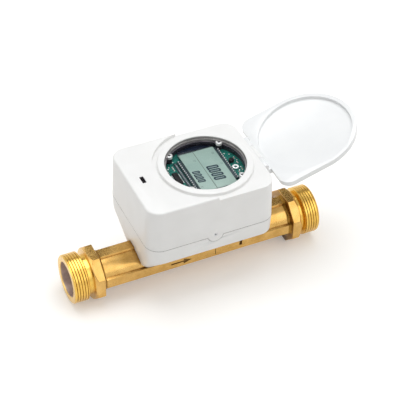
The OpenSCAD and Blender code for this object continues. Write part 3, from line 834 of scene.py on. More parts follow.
@dataclass
class FlowTube:
    """The brass tube with its threaded ends, collars, ribs and hidden seat."""

    tube_r: float = 16.5
    rib_face: float = 18.7
    rib_top_deg: float = 13.5
    rib_foot_deg: float = 16.875
    bore_r: float = 12.5
    mouth_r: float = 15.2
    mouth_depth: float = 12.0
    crest_r: float = 20.955
    root_r: float = 19.476
    pitch: float = 2.309
    lead: float = 1.7
    thread_len: float = 14.077
    neck_r: float = 17.3
    collar_x: float = 17.977
    collar_w: float = 8.3
    collar_flats: float = 44.4
    cone_r: float = 21.75
    cone_slope: float = 1.0
    cone_len: float = 2.5
    cast_fillet: float = 2.6
    lip: float = 0.45
    mouth_lip: float = 0.9
    start_turn: float = 0.5
    flank: Flat = (0.68, 1.0)
    lead_in: Flat = (1.4, 0.5)
    run_out: float = 0.8
    run_out_slope: float = 2.0
    arrow_x: Point = (86.0, 97.5, 105.0)
    arrow_half: Flat = (0.75, 2.7)
    arrow_depth: float = 0.55
    casting_line: tuple[Point, Point] = ((126.6, -3.0, -0.6), (127.2, 3.3, 1.0))
    casting_notch: tuple[Point, Point] = ((149.2, -1.0, -1.3), (151.7, 6.5, 1.0))
    mark_z: float = 0.3
    seat_top: float = 20.5
    seat_len: float = 86.0
    seat_w: float = 25.0
    path_len: float = 60.0
    socket_r: float = 12.0
    socket_top: float = 29.5
    socket_seat: float = 20.0
    tip_hole_r: float = 7.1
    flange_hole_r: float = 9.1
    seat_sunk: float = 1.0
    socket_sunk: float = 0.5
    tip_hole_z: float = 2.0
    over_cut: float = 1.0
    around: int = 240
    stations: int = 136
    last_share: float = 0.9999
    same_place: float = 0.001
    lip_steps: int = 5
    cone_steps: int = 22
    fillet_steps: int = 6
    socket_around: int = 64
    smooth_deg: float = 40.0
    length: float = field(init=False)

    def __post_init__(self) -> None:
        """Takes the overall length from the frame."""
        self.length = float(box_mm("flow_tube")[1][0])

    @property
    def middle(self) -> float:
        """Place of the tube's middle along the flow."""
        return self.length / 2.0

    def angles(self) -> np.ndarray:
        """Angles of the points in a ring, from the back over the top."""
        return np.linspace(0.0, 2.0 * math.pi, self.around, endpoint=False)

    def ring(self, x: float, radius: Union[float, np.ndarray]) -> np.ndarray:
        """One ring of points about the flow axis."""
        angle = self.angles()
        return np.column_stack([np.full(self.around, x), radius * np.cos(angle), radius * np.sin(angle)])

    def section(self) -> np.ndarray:
        """Section of the ribbed tube.

        Returns:
            The radii.
        """
        off = np.abs((np.degrees(self.angles()) + 45.0) % 90.0 - 45.0)
        share = np.clip((off - self.rib_top_deg) / (self.rib_foot_deg - self.rib_top_deg), 0.0, 1.0)
        blend = share * share * (3.0 - 2.0 * share)
        top = self.rib_face / np.cos(np.radians(np.minimum(off, self.rib_foot_deg)))
        return top + (self.tube_r - top) * blend

    def octagon(self) -> np.ndarray:
        """Radius of the collar's flats at each angle."""
        off = (np.degrees(self.angles()) + 22.5) % 45.0 - 22.5
        return self.collar_flats / 2.0 / np.cos(np.radians(off))

    def collar_rings(self) -> list[np.ndarray]:
        """Rings over one collar, which ends in a turned cone.

        Returns:
            The rings, from the inner face to the outer.
        """
        flats = self.octagon()
        inner = self.collar_x + self.collar_w
        rings = []
        for depth in np.linspace(0.0, self.lip, self.lip_steps):
            edge = self.lip - math.sqrt(self.lip ** 2 - (self.lip - depth) ** 2)
            rings.append(self.ring(inner - depth, flats - edge))
        for depth in np.linspace(self.cone_len, 0.0, self.cone_steps):
            cone = self.cone_r + self.cone_slope * depth
            rings.append(self.ring(self.collar_x + depth, np.minimum(flats, cone)))
        return rings

    def fillet(self, face_x: float, side: int, radius: Union[float, np.ndarray],
               size: float) -> list[np.ndarray]:
        """Rings of a fillet between the tube and a collar face.

        Args:
            face_x: Place of the collar face.
            side: 1 where the tube lies downstream of the face, -1 where upstream.
            radius: Radius of the tube at each angle.
            size: Radius of the fillet.

        Returns:
            The rings, from the tube to the face.
        """
        turns = np.radians(np.linspace(0.0, 90.0, self.fillet_steps))
        return [self.ring(face_x + side * size * (1.0 - math.sin(t)), radius + size * (1.0 - math.cos(t)))
                for t in turns]

    def thread_tool(self) -> NodeTool:
        """Makes the tree that bends a grid into a threaded skin.

        Returns:
            The tree.
        """
        tool = NodeTool("pipe_thread")
        around, stations = (tool.input(name, "NodeSocketInt") for name in ("Around", "Stations"))
        length, pitch, lead, crest, root, neck, lip = (
            tool.input(name) for name in ("Length", "Pitch", "Lead", "Crest", "Root", "Neck", "Lip"))
        grid = tool.add("GeometryNodeMeshGrid", {
            "Size X": 1.0, "Size Y": 1.0, "Vertices X": tool.math("ADD", around, 1.0),
            "Vertices Y": stations})
        place = tool.add("ShaderNodeSeparateXYZ", {
            "Vector": tool.tree.nodes.new("GeometryNodeInputPosition").outputs["Position"]})
        turn = tool.math("ADD", place.outputs["X"], 0.5)
        share = tool.math("ADD", place.outputs["Y"], 0.5)
        beyond = tool.math("DIVIDE", length, tool.math("SUBTRACT", stations, 2.0))
        along = tool.math("MINIMUM", tool.math("MULTIPLY", share, tool.math("ADD", length, beyond)), length)
        cycle = tool.math("SUBTRACT", tool.math("DIVIDE", tool.math("SUBTRACT", along, lead), pitch), turn)
        off_crest = tool.math("MULTIPLY", tool.math("PINGPONG", cycle, 0.5), 2.0)
        ridge = tool.span(off_crest, 1.0, 0.0, self.flank, "SMOOTHSTEP")
        ends = tuple(tool.math("SUBTRACT", lead, ahead) for ahead in self.lead_in)
        plain = tool.span(along, 1.0, 0.0, ends, "SMOOTHSTEP")
        bare = tool.math("MULTIPLY", tool.math("SUBTRACT", 1.0, ridge), tool.math("SUBTRACT", 1.0, plain))
        height = tool.math("SUBTRACT", 1.0, bare)
        radius = tool.math("MULTIPLY_ADD", height, tool.math("SUBTRACT", crest, root), root)
        chamfered = tool.math("MINIMUM", radius, tool.math("ADD", tool.math("SUBTRACT", crest, lip), along))
        left = tool.math("SUBTRACT", tool.math("SUBTRACT", length, self.run_out), along)
        run_out = tool.math("MULTIPLY_ADD", left, self.run_out_slope, root)
        ended = tool.math("MINIMUM", chamfered, run_out)
        last = tool.math("GREATER_THAN", share, self.last_share)
        drop = tool.math("MULTIPLY", last, tool.math("SUBTRACT", neck, ended))
        final = tool.math("ADD", ended, drop)
        angle = tool.math("MULTIPLY", turn, 2.0 * math.pi)
        spot = tool.add("ShaderNodeCombineXYZ", {
            "X": along, "Y": tool.math("MULTIPLY", final, tool.math("COSINE", angle)),
            "Z": tool.math("MULTIPLY", final, tool.math("SINE", angle))})
        bent = tool.add("GeometryNodeSetPosition", {
            "Geometry": grid.outputs["Mesh"], "Position": spot.outputs["Vector"]})
        joined = tool.add("GeometryNodeMergeByDistance", {
            "Geometry": bent.outputs["Geometry"], "Distance": self.same_place})
        tool.close(joined.outputs["Geometry"])
        return tool

    def thread_skin(self) -> tuple[np.ndarray, list[list[int]]]:
        """Makes the threaded skin at the inlet.

        Returns:
            Its vertices and faces.
        """
        mesh = self.thread_tool().run("thread_skin", {
            "Around": self.around, "Stations": self.stations, "Length": self.thread_len,
            "Pitch": self.pitch, "Lead": self.lead + self.start_turn, "Crest": self.crest_r,
            "Root": self.root_r, "Neck": self.neck_r, "Lip": self.mouth_lip,
            "Material": TURNED_BRASS.material})
        verts = np.array([vert.co for vert in mesh.vertices])
        faces = [list(face.vertices) for face in mesh.polygons]
        bpy.data.meshes.remove(mesh)
        return verts, faces

    def half(self) -> list[tuple[np.ndarray, list[list[int]], Skin]]:
        """Makes the skins of the inlet half.

        Returns:
            Vertices, faces and kind of each skin.
        """
        inner_face = self.collar_x + self.collar_w
        collar = self.collar_rings()
        # The fillet and the inner face of each collar take the dark brass of painted shade.
        shaded = [*self.fillet(inner_face, 1, self.section(), self.cast_fillet), collar[0]]
        plain = [self.ring(self.middle, self.section()), shaded[0]]
        turned = [collar[-1]]
        turned += self.fillet(self.collar_x, -1, self.neck_r, self.lip)[::-1]
        turned.append(self.ring(self.thread_len, self.neck_r))
        face = [self.ring(0.0, self.crest_r - self.mouth_lip), self.ring(0.0, self.mouth_r + self.lip),
                self.ring(self.lip, self.mouth_r)]
        inside = [face[-1], self.ring(self.mouth_depth, self.mouth_r),
                  self.ring(self.mouth_depth, self.bore_r + self.lip),
                  self.ring(self.mouth_depth + self.lip, self.bore_r), self.ring(self.middle, self.bore_r)]
        skins = []
        for rings, skin in ((plain, Skin.CAST), (shaded, Skin.SHADED), (collar, Skin.CAST),
                            (turned, Skin.TURNED), (face, Skin.TURNED), (inside, Skin.BORE)):
            draft = Draft().rings(rings)
            skins.append((np.array(draft.verts), draft.faces, skin))
        skins.append((*self.thread_skin(), Skin.TURNED))
        return skins

    def seat(self) -> Draft:
        """The hidden seat that carries the housing.

        Returns:
            Its draft.
        """
        half_len, half_w = self.seat_len / 2.0, self.seat_w / 2.0
        return Draft().box((self.middle - half_len, -half_w, self.bore_r + self.seat_sunk),
                           (self.middle + half_len, half_w, self.seat_top))

    def upright_cylinders(self, radius: float, low: float, high: float) -> Draft:
        """Sets upright cylinders at both transducers.

        Args:
            radius: Their radius.
            low: Height of their foot.
            high: Height of their top.

        Returns:
            Their draft.
        """
        draft = Draft()
        for x in self.transducers():
            draft.turned([(radius, low), (radius, high)], self.socket_around, (x, 0.0))
        return draft

    def sockets(self) -> Draft:
        """The two transducer sockets that stand on the seat."""
        return self.upright_cylinders(self.socket_r, self.bore_r + self.socket_sunk, self.socket_top)

    def socket_holes(self) -> Draft:
        """The wide holes in the sockets above the seal seats."""
        return self.upright_cylinders(self.flange_hole_r, self.socket_seat, self.socket_top + self.over_cut)

    def bore_holes(self) -> Draft:
        """The narrow holes from the seal seats into the bore."""
        return self.upright_cylinders(self.tip_hole_r, self.tip_hole_z, self.socket_seat + self.over_cut)

    def transducers(self) -> tuple[float, float]:
        """Places of the transducers along the flow."""
        return self.middle - self.path_len / 2.0, self.middle + self.path_len / 2.0

    def build(self) -> None:
        """Builds the tube and its flow arrow."""
        draft = Draft()
        for verts, faces, skin in self.half():
            turned_round = np.column_stack([self.length - verts[:, 0], -verts[:, 1], verts[:, 2]])
            draft.add(verts.tolist(), faces, skin.value)
            draft.add(turned_round.tolist(), faces, skin.value)
        finishes = [CAST_BRASS, TURNED_BRASS, LIT_BORE_BRASS, PAINTED_SHADE_BRASS]
        mesh = draft.mesh("brass_tube", finishes)
        seat = self.seat().mesh("seat", [CAST_BRASS])
        for part, operation in ((self.sockets(), "UNION"), (self.socket_holes(), "DIFFERENCE")):
            seat = combine(seat, part.mesh("sockets", [CAST_BRASS]), operation)
        mesh = combine(mesh, seat, "UNION")
        mesh = combine(mesh, self.bore_holes().mesh("holes", [TURNED_BRASS]), "DIFFERENCE")
        mesh = combine(mesh, self.marks(), "DIFFERENCE")
        self.blend_thread(add_piece(mesh, Body.METER, ["flow_tube"], self.smooth_deg).data)

    def blend_thread(self, mesh: bpy.types.Mesh) -> None:
        """Shades the ridges of both threads smooth from crest to root.

        Args:
            mesh: The tube's mesh.
        """
        places = np.empty(len(mesh.vertices) * 3, dtype=np.float32)
        ends = np.empty(len(mesh.edges) * 2, dtype=np.int32)
        sharp = np.empty(len(mesh.edges), dtype=bool)
        mesh.vertices.foreach_get("co", places)
        mesh.edges.foreach_get("vertices", ends)
        mesh.edges.foreach_get("use_edge_sharp", sharp)
        x, y, z = places.reshape(-1, 3).T / MM
        depth = np.minimum(x, self.length - x)
        ridged = (depth > self.lead / 2.0) & (depth < self.thread_len - 1.0)
        ridged &= np.hypot(y, z) > self.root_r - 0.1
        sharp &= ~ridged[ends.reshape(-1, 2)].all(axis=1)
        mesh.edges.foreach_set("use_edge_sharp", sharp)

    def marks(self) -> bpy.types.Mesh:
        """The flow arrow and the two casting marks that are sunk into the front rib.

        Returns:
            What is cut out for them.
        """
        tail, neck, tip = self.arrow_x
        shaft, head = self.arrow_half
        arrow = [(tail, -shaft), (neck, -shaft), (neck, -head), (tip, 0.0), (neck, head), (neck, shaft),
                 (tail, shaft)]
        draft = Draft().prism(arrow, -self.arrow_depth, self.over_cut)
        draft.box(*self.casting_line).box(*self.casting_notch)
        upright = Matrix.Rotation(math.pi / 2.0, 4, "X")
        place = Matrix.Translation((0.0, -self.rib_face, self.mark_z)) @ upright
        # The cut faces take the dark brass: painted shade in the sunk arrow and marks.
        return draft.mesh("marks", [SUNK_SHADE_BRASS], place=place)


def combine(base: bpy.types.Mesh, tool: bpy.types.Mesh, operation: str) -> bpy.types.Mesh:
    """Joins or cuts a mesh with another, which hands its finish to the faces that it makes.

    Args:
        base: The mesh that is changed.
        tool: The mesh that is joined to it or taken from it, with no shape in it across another.
        operation: Name of the Boolean operation.

    Returns:
        The result, under the base's name.
    """
    carrier = link(bpy.data.objects.new("base", base))
    other = link(bpy.data.objects.new("tool", tool))
    modifier = carrier.modifiers.new("combine", "BOOLEAN")
    modifier.operation = operation
    modifier.solver = "EXACT"
    modifier.material_mode = "TRANSFER"
    modifier.object = other
    result = bake(carrier, base.name)
    discard(other)
    return result


@dataclass
class Works:
    """What lies inside the tube and the housing, out of sight in most views."""

    def build(self) -> None:
        """Gives the hidden solids their finishes."""
        dress(LINER, "measuring_liner")
        dress(STEEL, "inlet_reflector", "outlet_reflector", "seat_screws")
        dress(TRANSDUCER, "inlet_transducer", "outlet_transducer")
        dress(RUBBER, "transducer_seals")
        dress(TURNED_BRASS, "gland_nuts")
        dress(RED_LEAD, "transducer_leads", "battery_leads")
        dress(SLEEVE, "battery")
        dress(BLACK_BEZEL, "battery_cradle")


@dataclass
class Housing:
    """The two white housing halves with the seal between them and what is set into them."""

    edge: float = 0.35
    fine_edge: float = 0.2
    seam: Flat = (38.0, 46.2)
    seam_lean: float = 0.25
    glue_shade_top: float = 84.3
    glue_shade_reach: float = 0.2
    rim_r: float = 39.5
    rim_edge: float = 1.0
    socket_r: float = 0.75
    socket_depth: float = 0.8
    over_cut: float = 1.0

    def mark_glue_and_shade(self, shell: bpy.types.Mesh) -> None:
        """Gives the wall around the pane a dark tone, partly the glue that holds the pane and partly painted
        shade on the wall under it.

        Args:
            shell: The upper half.
        """
        low, high = box_mm("window_pane")
        middle = (low + high) / 2.0
        hole = (middle[0], middle[1], (high[0] - low[0]) / 2.0)
        shell.materials.append(GLUE_AND_SHADE.material)
        bm = bmesh.new()
        bm.from_mesh(shell)
        wall = [face for face in bm.faces if all(on_round_wall(v, hole, self.glue_shade_reach) for v in face.verts)]
        parts = dict.fromkeys(part for face in wall for part in (face, *face.edges, *face.verts))
        bmesh.ops.bisect_plane(bm, geom=list(parts), plane_co=(0.0, 0.0, self.glue_shade_top * MM),
                               plane_no=(0.0, 0.0, 1.0))
        # Glue and painted shade: the wall's faces below the cut take the dark grey.
        for face in bm.faces:
            if all(on_round_wall(v, hole, self.glue_shade_reach) and v.co.z < (self.glue_shade_top + LEVEL_MM) * MM
                   for v in face.verts):
                face.material_index = 1
        bm.to_mesh(shell)
        bm.free()

    def mark_seam_shade(self, shell: bpy.types.Mesh, up: float) -> None:
        """Paints shade on the faces that look into the seam between the halves, so that the seam shows as a
        dark line.

        Args:
            shell: One of the halves.
            up: 1 for the half whose faces look up into the seam, -1 for the other.
        """
        for face in shell.polygons:
            inside = all(self.seam[0] < shell.vertices[i].co.z / MM < self.seam[1] for i in face.vertices)
            if inside and face.normal.z * up > self.seam_lean:
                face.material_index = 1

    def build(self) -> None:
        """Builds the halves and dresses the seal, the port and the sealing screw."""
        low, high = box_mm("window_pane")
        middle = (low + high) / 2.0
        upper = softened("upper_housing", "upper_shell", WHITE_HOUSING, self.edge, crisp=self.seam,
                         rim=(middle[0], middle[1], self.rim_r, self.rim_edge))
        self.mark_glue_and_shade(upper)
        self.mark_seam_shade(upper, -1.0)
        add_piece(upper, Body.METER, ["upper_housing"])
        lower = softened("lower_housing", "lower_shell", WHITE_HOUSING, self.edge, crisp=self.seam)
        # Painted shade: the lower half's faces that look up into the seam take the dark grey.
        lower.materials.append(GLUE_AND_SHADE.material)
        self.mark_seam_shade(lower, 1.0)
        add_piece(lower, Body.METER, ["lower_housing"])
        add_softened("infrared_port", "port_window", INFRARED, self.fine_edge)
        self.build_screw()
        dress(RUBBER, "housing_gasket")

    def build_screw(self) -> None:
        """Builds the sealing screw with the hexagon socket in its head."""
        low, high = box_mm("seal_screw")
        middle = (low + high) / 2.0
        turn = np.radians(np.arange(0.0, 360.0, 60.0))
        hexagon = np.column_stack([self.socket_r * np.cos(turn), self.socket_r * np.sin(turn)])
        upright = Matrix.Translation((middle[0], low[1], middle[2])) @ Matrix.Rotation(math.pi / 2.0, 4, "X")
        draft = Draft().prism(hexagon, -self.socket_depth, self.over_cut)
        # Painted shade: the cut leaves the faces of the hexagon socket near-black.
        socket = draft.mesh("socket", [SOCKET_SHADE_STEEL], place=upright)
        screw = combine(softened("seal_screw", "sealing_screw", STEEL, self.fine_edge), socket, "DIFFERENCE")
        add_piece(screw, Body.METER, ["seal_screw"])


@dataclass
class Lid:
    """The lid and the pin that it turns on."""

    edge: float = 0.45

    def build(self) -> None:
        """Builds the lid and dresses the pin."""
        add_softened("lid", "lid_shell", WHITE_LID, self.edge, Body.LID)
        dress(PIN_STEEL, "hinge_pin")


@dataclass(frozen=True)
class DigitRow:
    """A row of zeros on the display, read from the back to the front."""

    text: str
    foot_x: float
    first_y: float
    height: float
    pitch: float
    bar: float
    slant: float = 0.1
    wide_share: float = 0.84
    outer_cut: float = 0.7
    inner_cut: float = 0.2
    point_share: float = 1.05
    point_back: float = 0.27
    point_cut: float = 0.1

    def write(self, draft: Draft, low: float, high: float) -> None:
        """Adds the row's zeros and points to a draft.

        Args:
            draft: Where they go.
            low: Height of their underside.
            high: Height of their face.
        """
        right = 0.0
        for sign in self.text:
            if sign == ".":
                side, back = self.point_share * self.bar, self.point_back * self.pitch
                draft.prism(self.corners(right - back, 0.0, side, side, self.point_cut * side), low, high)
                continue
            wide, bar = self.wide_share * self.pitch, self.bar
            outer = self.corners(right, 0.0, wide, self.height, self.outer_cut * bar)
            inner = self.corners(right + bar, bar, wide - 2.0 * bar, self.height - 2.0 * bar,
                                 self.inner_cut * bar)
            loops = [(outer, low), (outer, high), (inner, high), (inner, low), (outer, low)]
            draft.rings([np.column_stack([flat, np.full(len(flat), z)]) for flat, z in loops])
            draft.prism(inner, low, (low + high) / 2.0, 1)
            right += self.pitch

    def corners(self, right: float, up: float, wide: float, tall: float, cut: float) -> np.ndarray:
        """Outline in the row frame of a leaning box that lies right and up from the row's start.

        Args:
            right: How far right its first corner lies.
            up: How far up its first corner lies.
            wide: Its width.
            tall: Its height.
            cut: How much is cut off each corner.

        Returns:
            The eight corners.
        """
        end, top = right + wide, up + tall
        spots = ((right + cut, up), (end - cut, up), (end, up + cut), (end, top - cut), (end - cut, top),
                 (right + cut, top), (right, top - cut), (right, up + cut))
        return np.array([(self.foot_x + v, self.first_y - u - self.slant * v) for u, v in spots])


@dataclass
class Display:
    """The window with the display, its board and the parts that show on the board."""

    bezel_edge: float = 0.25
    highlight_lean: float = 0.2
    cell_edge: float = 0.12
    film_edge: float = 0.04
    strip_edge: float = 0.15
    header_edge: float = 0.2
    chip_edge: float = 0.2
    can_edge: float = 0.3
    coil_edge: float = 0.25
    resistor_edge: float = 0.05
    metal_edge: float = 0.06
    film_t: float = 0.12
    film_inset: float = 0.35
    cell_step: float = 1.6
    ink_t: float = 0.03
    ink_sunk: float = 0.01
    big: DigitRow = DigitRow("0.000", 126.1, 3.4, 10.2, 4.85, 1.4)
    small: DigitRow = DigitRow("00.00", 112.7, 1.8, 6.6, 3.8, 1.1)
    divider_x: float = 124.0
    divider_w: float = 0.7
    divider_gap: float = 0.6
    unit_marks: tuple[Flat, ...] = ((139.0, 17.0), (121.0, 13.6), (140.4, 2.4), (113.2, -18.4))
    strokes: tuple[Point, ...] = ((-0.9, -0.5, 0.9), (0.2, 0.6, 1.2))
    strips: tuple[tuple[Flat, Flat, float], ...] = (
        ((103.7, 106.6), (-18.4, 18.4), 0.9), ((142.6, 146.1), (19.02, 23.8), 1.5))
    shadow_bar_x: Flat = (112.0, 141.6)
    shadow_bar_t: float = 1.4
    shadow_bar_gap: float = 0.15
    shadow_bar_wall: float = 1.6
    shadow_bar_steps: int = 16
    pin_side: float = 0.9
    pin_count: int = 15
    spare_pins: int = 2
    pin_top: float = 0.14
    pin_root: float = 0.3
    pin_lean: float = 4.0
    lean_seed: int = 7
    resistors: tuple[Flat, ...] = (
        (95.6, 12.0), (95.6, 9.6), (95.6, -9.4), (95.6, -11.8), (101.6, 14.5), (101.6, 11.5),
        (101.6, -12.0), (101.6, -15.0), (153.6, 6.5), (153.8, -9.0), (153.6, 0.2), (150.0, -11.5))
    resistor: tuple[Point, Point] = ((-0.5, -0.8, 0.0), (0.5, 0.8, 0.55))
    resistor_end: tuple[Point, Point] = ((-0.53, 0.7, 0.0), (0.53, 1.05, 0.58))
    leg_x: Flat = (96.9, 102.5)
    leg_reach: float = 5.6
    leg_count: int = 10
    leg: tuple[Point, Point] = ((-0.8, -0.22, 0.0), (0.8, 0.22, 0.35))
    holes: tuple[Flat, ...] = (
        (97.5, 14.5), (98.9, 16.4), (104.6, 21.0), (93.8, 4.0), (93.9, -4.2), (97.8, -14.2),
        (148.4, 14.8), (151.8, 12.6), (154.6, 3.4), (151.4, -8.9), (148.2, -15.5), (153.9, -5.6))
    hole_r: Flat = (0.24, 0.55)
    hole_around: int = 16
    pad_t: float = 0.05
    contact_x: float = 105.15
    contact_z: float = 0.88
    contact_reach: float = 17.3
    contact_count: int = 22
    contact: tuple[Point, Point] = ((-0.55, -0.4, 0.0), (0.55, 0.4, 0.08))
    head_r: float = 1.8
    head_t: float = 0.9
    head_cut: Flat = (0.1, 0.3)
    head_around: int = 40
    socket_around: int = 24
    shank_r: float = 0.9
    socket_r: float = 1.1
    socket_deep: float = 0.45
    socket_floor: Point = (0.02, 0.1, 0.06)

    def build(self) -> None:
        """Builds the display from the board up."""
        dress(GREEN_MASK, "circuit_board")
        bezel = softened("display_bezel", "bezel_ring", BLACK_BEZEL, self.bezel_edge)
        bezel.materials.append(BEZEL_TOP_HIGHLIGHT.material)
        # Painted highlight: the bezel's faces that look up take the lighter grey.
        for face in bezel.polygons:
            if face.normal.z > self.highlight_lean:
                face.material_index = 1
        add_piece(bezel, Body.METER, ["display_bezel"])
        dress(CLEAR_PANE, "window_pane")
        dress(GLUE_AND_SHADE, "pane_seal")
        self.build_cell()
        self.build_ink()
        self.build_headers()
        self.build_pins()
        self.build_parts()
        self.build_screws()

    def build_cell(self) -> None:
        """Builds the two glasses of the display cell and the film on top."""
        low, high = box_mm("display_glass")
        middle = (low[2] + high[2]) / 2.0
        film_z = high[2] - self.film_t
        draft = Draft().box(tuple(low), (high[0], high[1], middle))
        draft.box((low[0], low[1] + self.cell_step, middle), (high[0], high[1] - self.cell_step, film_z))
        cell = draft.mesh("display_cell", [CELL_GLASS], self.cell_edge)
        add_piece(cell, Body.METER, ["display_glass"])
        inset = self.film_inset
        film = Draft().box((low[0] + inset, low[1] + self.cell_step + inset, film_z),
                           (high[0] - inset, high[1] - self.cell_step - inset, high[2]))
        add_piece(film.mesh("display_film", [CRYSTAL], self.film_edge), Body.METER)

    def build_ink(self) -> None:
        """Builds the digits, the divider and the unit marks on the film."""
        high = box_mm("display_glass")[1]
        base, top = high[2] - self.ink_sunk, high[2] + self.ink_t
        digits = Draft()
        for row in (self.big, self.small):
            row.write(digits, base, top)
        add_piece(digits.mesh("display_digits", [SEGMENT_INK, GHOST_INK]), Body.METER)
        half = self.divider_w / 2.0
        reach = high[1] - self.cell_step - self.divider_gap
        marks = Draft().box((self.divider_x - half, -reach, base), (self.divider_x + half, reach, top))
        for x, y in self.unit_marks:
            for left, right, tall in self.strokes:
                marks.box((x + left, y - tall, base), (x + right, y + tall, top))
        add_piece(marks.mesh("display_marks", [FAINT_INK]), Body.METER)

    def build_headers(self) -> None:
        """Builds the strips beside the display and the dark bar behind it, a painted shadow on the board."""
        add_softened("pin_headers", "header_strips", SLATE_HEADER, self.header_edge)
        board = box_mm("circuit_board")[1][2]
        strip = Draft()
        for (left, right), (front, back), tall in self.strips:
            strip.box((left, front, board), (right, back, board + tall))
        add_piece(strip.mesh("edge_strip", [SLATE_HEADER], self.strip_edge), Body.METER)
        # Painted shadow: a dark navy bar along the display's back edge stands for the shade on the board
        # there.
        low, high = box_mm("display_bezel")
        centre, reach = (low[0] + high[0]) / 2.0, (high[0] - low[0]) / 2.0 - self.shadow_bar_wall
        back = box_mm("display_glass")[1][1] + self.shadow_bar_gap
        left, right = self.shadow_bar_x
        outline = [(left, back), (right, back)]
        outline += [(x, math.sqrt(reach ** 2 - (x - centre) ** 2))
                    for x in np.linspace(right, left, self.shadow_bar_steps)]
        holder = Draft().prism(outline, board, board + self.shadow_bar_t)
        add_piece(holder.mesh("display_holder", [NAVY_SHADOW_BAR], self.strip_edge), Body.METER)

    def row_tool(self) -> NodeTool:
        """Makes the tree that sets out copies of a shape on given points.

        Returns:
            The tree.
        """
        tool = NodeTool("set_out")
        points = tool.input("Points", "NodeSocketObject")
        shape = tool.input("Shape", "NodeSocketObject")
        seed = tool.input("Seed", "NodeSocketInt")
        lean = tool.input("Lean")
        where = tool.add("GeometryNodeObjectInfo", {"Object": points})
        what = tool.add("GeometryNodeObjectInfo", {"Object": shape})
        swing = tool.add("FunctionNodeRandomValue", {"Min": (0.0, 0.0, 0.0), "Seed": seed},
                         data_type="FLOAT_VECTOR")
        turn = tool.add("ShaderNodeCombineXYZ", {"Z": lean})
        tool.feed(swing.inputs["Max"], turn.outputs["Vector"])
        spread = tool.add("GeometryNodeInstanceOnPoints", {
            "Points": where.outputs["Geometry"], "Instance": what.outputs["Geometry"],
            "Rotation": swing.outputs["Value"]})
        tool.close(spread.outputs["Instances"])
        return tool

    def set_out(self, name: str, places: Sequence[Point], shape: Draft, finish: Finish, slot: str,
                edge: float = 0.0, lean_deg: float = 0.0, replaces: Sequence[str] = ()) -> None:
        """Adds a piece that is made of copies of a shape.

        Args:
            name: Name of the piece.
            places: Where each copy goes, in millimetres.
            shape: The shape, about its own origin.
            finish: Finish of the copies.
            slot: The record's material slot; not used.
            edge: Rounding of the shape's edges, in millimetres.
            lean_deg: Largest turn about the upright axis.
            replaces: Solids of the frame that the piece stands for.
        """
        points = bpy.data.meshes.new("points")
        points.from_pydata([tuple(value * MM for value in place) for place in places], [], [])
        holders = [link(bpy.data.objects.new(label, data)) for label, data in (
            ("points", points), ("shape", shape.mesh("shape", [finish], edge)))]
        mesh = self.row_tool().run(name, {
            "Points": holders[0], "Shape": holders[1], "Seed": self.lean_seed,
            "Lean": math.radians(lean_deg), "Material": finish.material})
        for holder in holders:
            discard(holder)
        add_piece(mesh, Body.METER, replaces)

    def build_pins(self) -> None:
        """Builds the two rows of pins with their tapered tops."""
        low, high = box_mm("display_pins")
        half = self.pin_side / 2.0
        step = (high[1] - low[1] - self.pin_side) / (self.pin_count - 1)
        rows = (low[0] + half, high[0] - half)
        places = [(x, low[1] + half + i * step, low[2]) for x in rows for i in range(self.pin_count)]
        places += [(rows[1], high[1] - half + (i + 1) * step, low[2]) for i in range(self.spare_pins)]
        tall = high[2] - low[2]
        levels = [(half, -self.pin_root), (half, tall - 2.0 * self.pin_top), (half - self.pin_top, tall)]
        rings = [np.array([(-r, -r, z), (r, -r, z), (r, r, z), (-r, r, z)]) for r, z in levels]
        self.set_out("contact_pins", places, Draft().rings(rings, caps=True), SOLDER, "tinned_metal",
                     self.metal_edge, self.pin_lean, ["display_pins"])

    def build_parts(self) -> None:
        """Builds the chip, the capacitor, the coil and the small parts on the board."""
        add_softened("board_chip", "chip_body", CHIP_EPOXY, self.chip_edge)
        add_softened("board_capacitor", "capacitor_can", CHIP_EPOXY, self.can_edge)
        add_softened("board_coil", "coil_ring", TINNED, self.coil_edge)
        top = box_mm("circuit_board")[1][2]
        places = [(x, y, top) for x, y in self.resistors]
        (left, near, low), (right, far, high) = self.resistor_end
        ends = Draft().box((left, -far, low), (right, -near, high)).box(*self.resistor_end)
        self.set_out("chip_resistors", places, Draft().box(*self.resistor), CERAMIC, "dark_plastic",
                     self.resistor_edge)
        self.set_out("resistor_ends", places, ends, TINNED, "tinned_metal", self.metal_edge)
        along = np.linspace(-self.leg_reach, self.leg_reach, self.leg_count)
        legs = [(x, y, top) for x in self.leg_x for y in along]
        self.set_out("chip_legs", legs, Draft().box(*self.leg), TINNED, "tinned_metal", self.metal_edge)
        inner, outer = self.hole_r
        profile = [(inner, 0.0), (outer, 0.0), (outer, self.pad_t), (inner, self.pad_t)]
        places = [(x, y, top) for x, y in self.holes]
        ring = Draft().turned(profile, self.hole_around)
        self.set_out("plated_holes", places, ring, TINNED, "tinned_metal")
        along = np.linspace(-self.contact_reach, self.contact_reach, self.contact_count)
        places = [(self.contact_x, y, top + self.contact_z) for y in along]
        self.set_out("strip_contacts", places, Draft().box(*self.contact), WORN_TIN, "tinned_metal")

    def build_screws(self) -> None:
        """Builds the four screws of the display, with round sockets in their heads."""
        low, high = box_mm("display_screws")
        centre = (low + high) / 2.0
        head, shank, socket = self.head_r, self.shank_r, self.socket_r
        arm = (high[0] - low[0]) / 2.0 - head
        tall = high[2] - low[2]
        rise, floor = tall - self.head_t, tall - self.socket_deep
        near, far = self.head_cut
        profile = [(shank, 0.0), (shank, rise), (head, rise), (head, tall - far), (head - near, tall - near),
                   (head - far, tall), (socket, tall), (socket, floor)]
        signs = (-1.0, 1.0)
        places = [(centre[0] + sx * arm, centre[1] + sy * arm, low[2]) for sx in signs for sy in signs]
        screw = Draft().turned(profile, self.head_around)
        self.set_out("lug_screws", places, screw, BRIGHT_STEEL, "steel", replaces=["display_screws"])
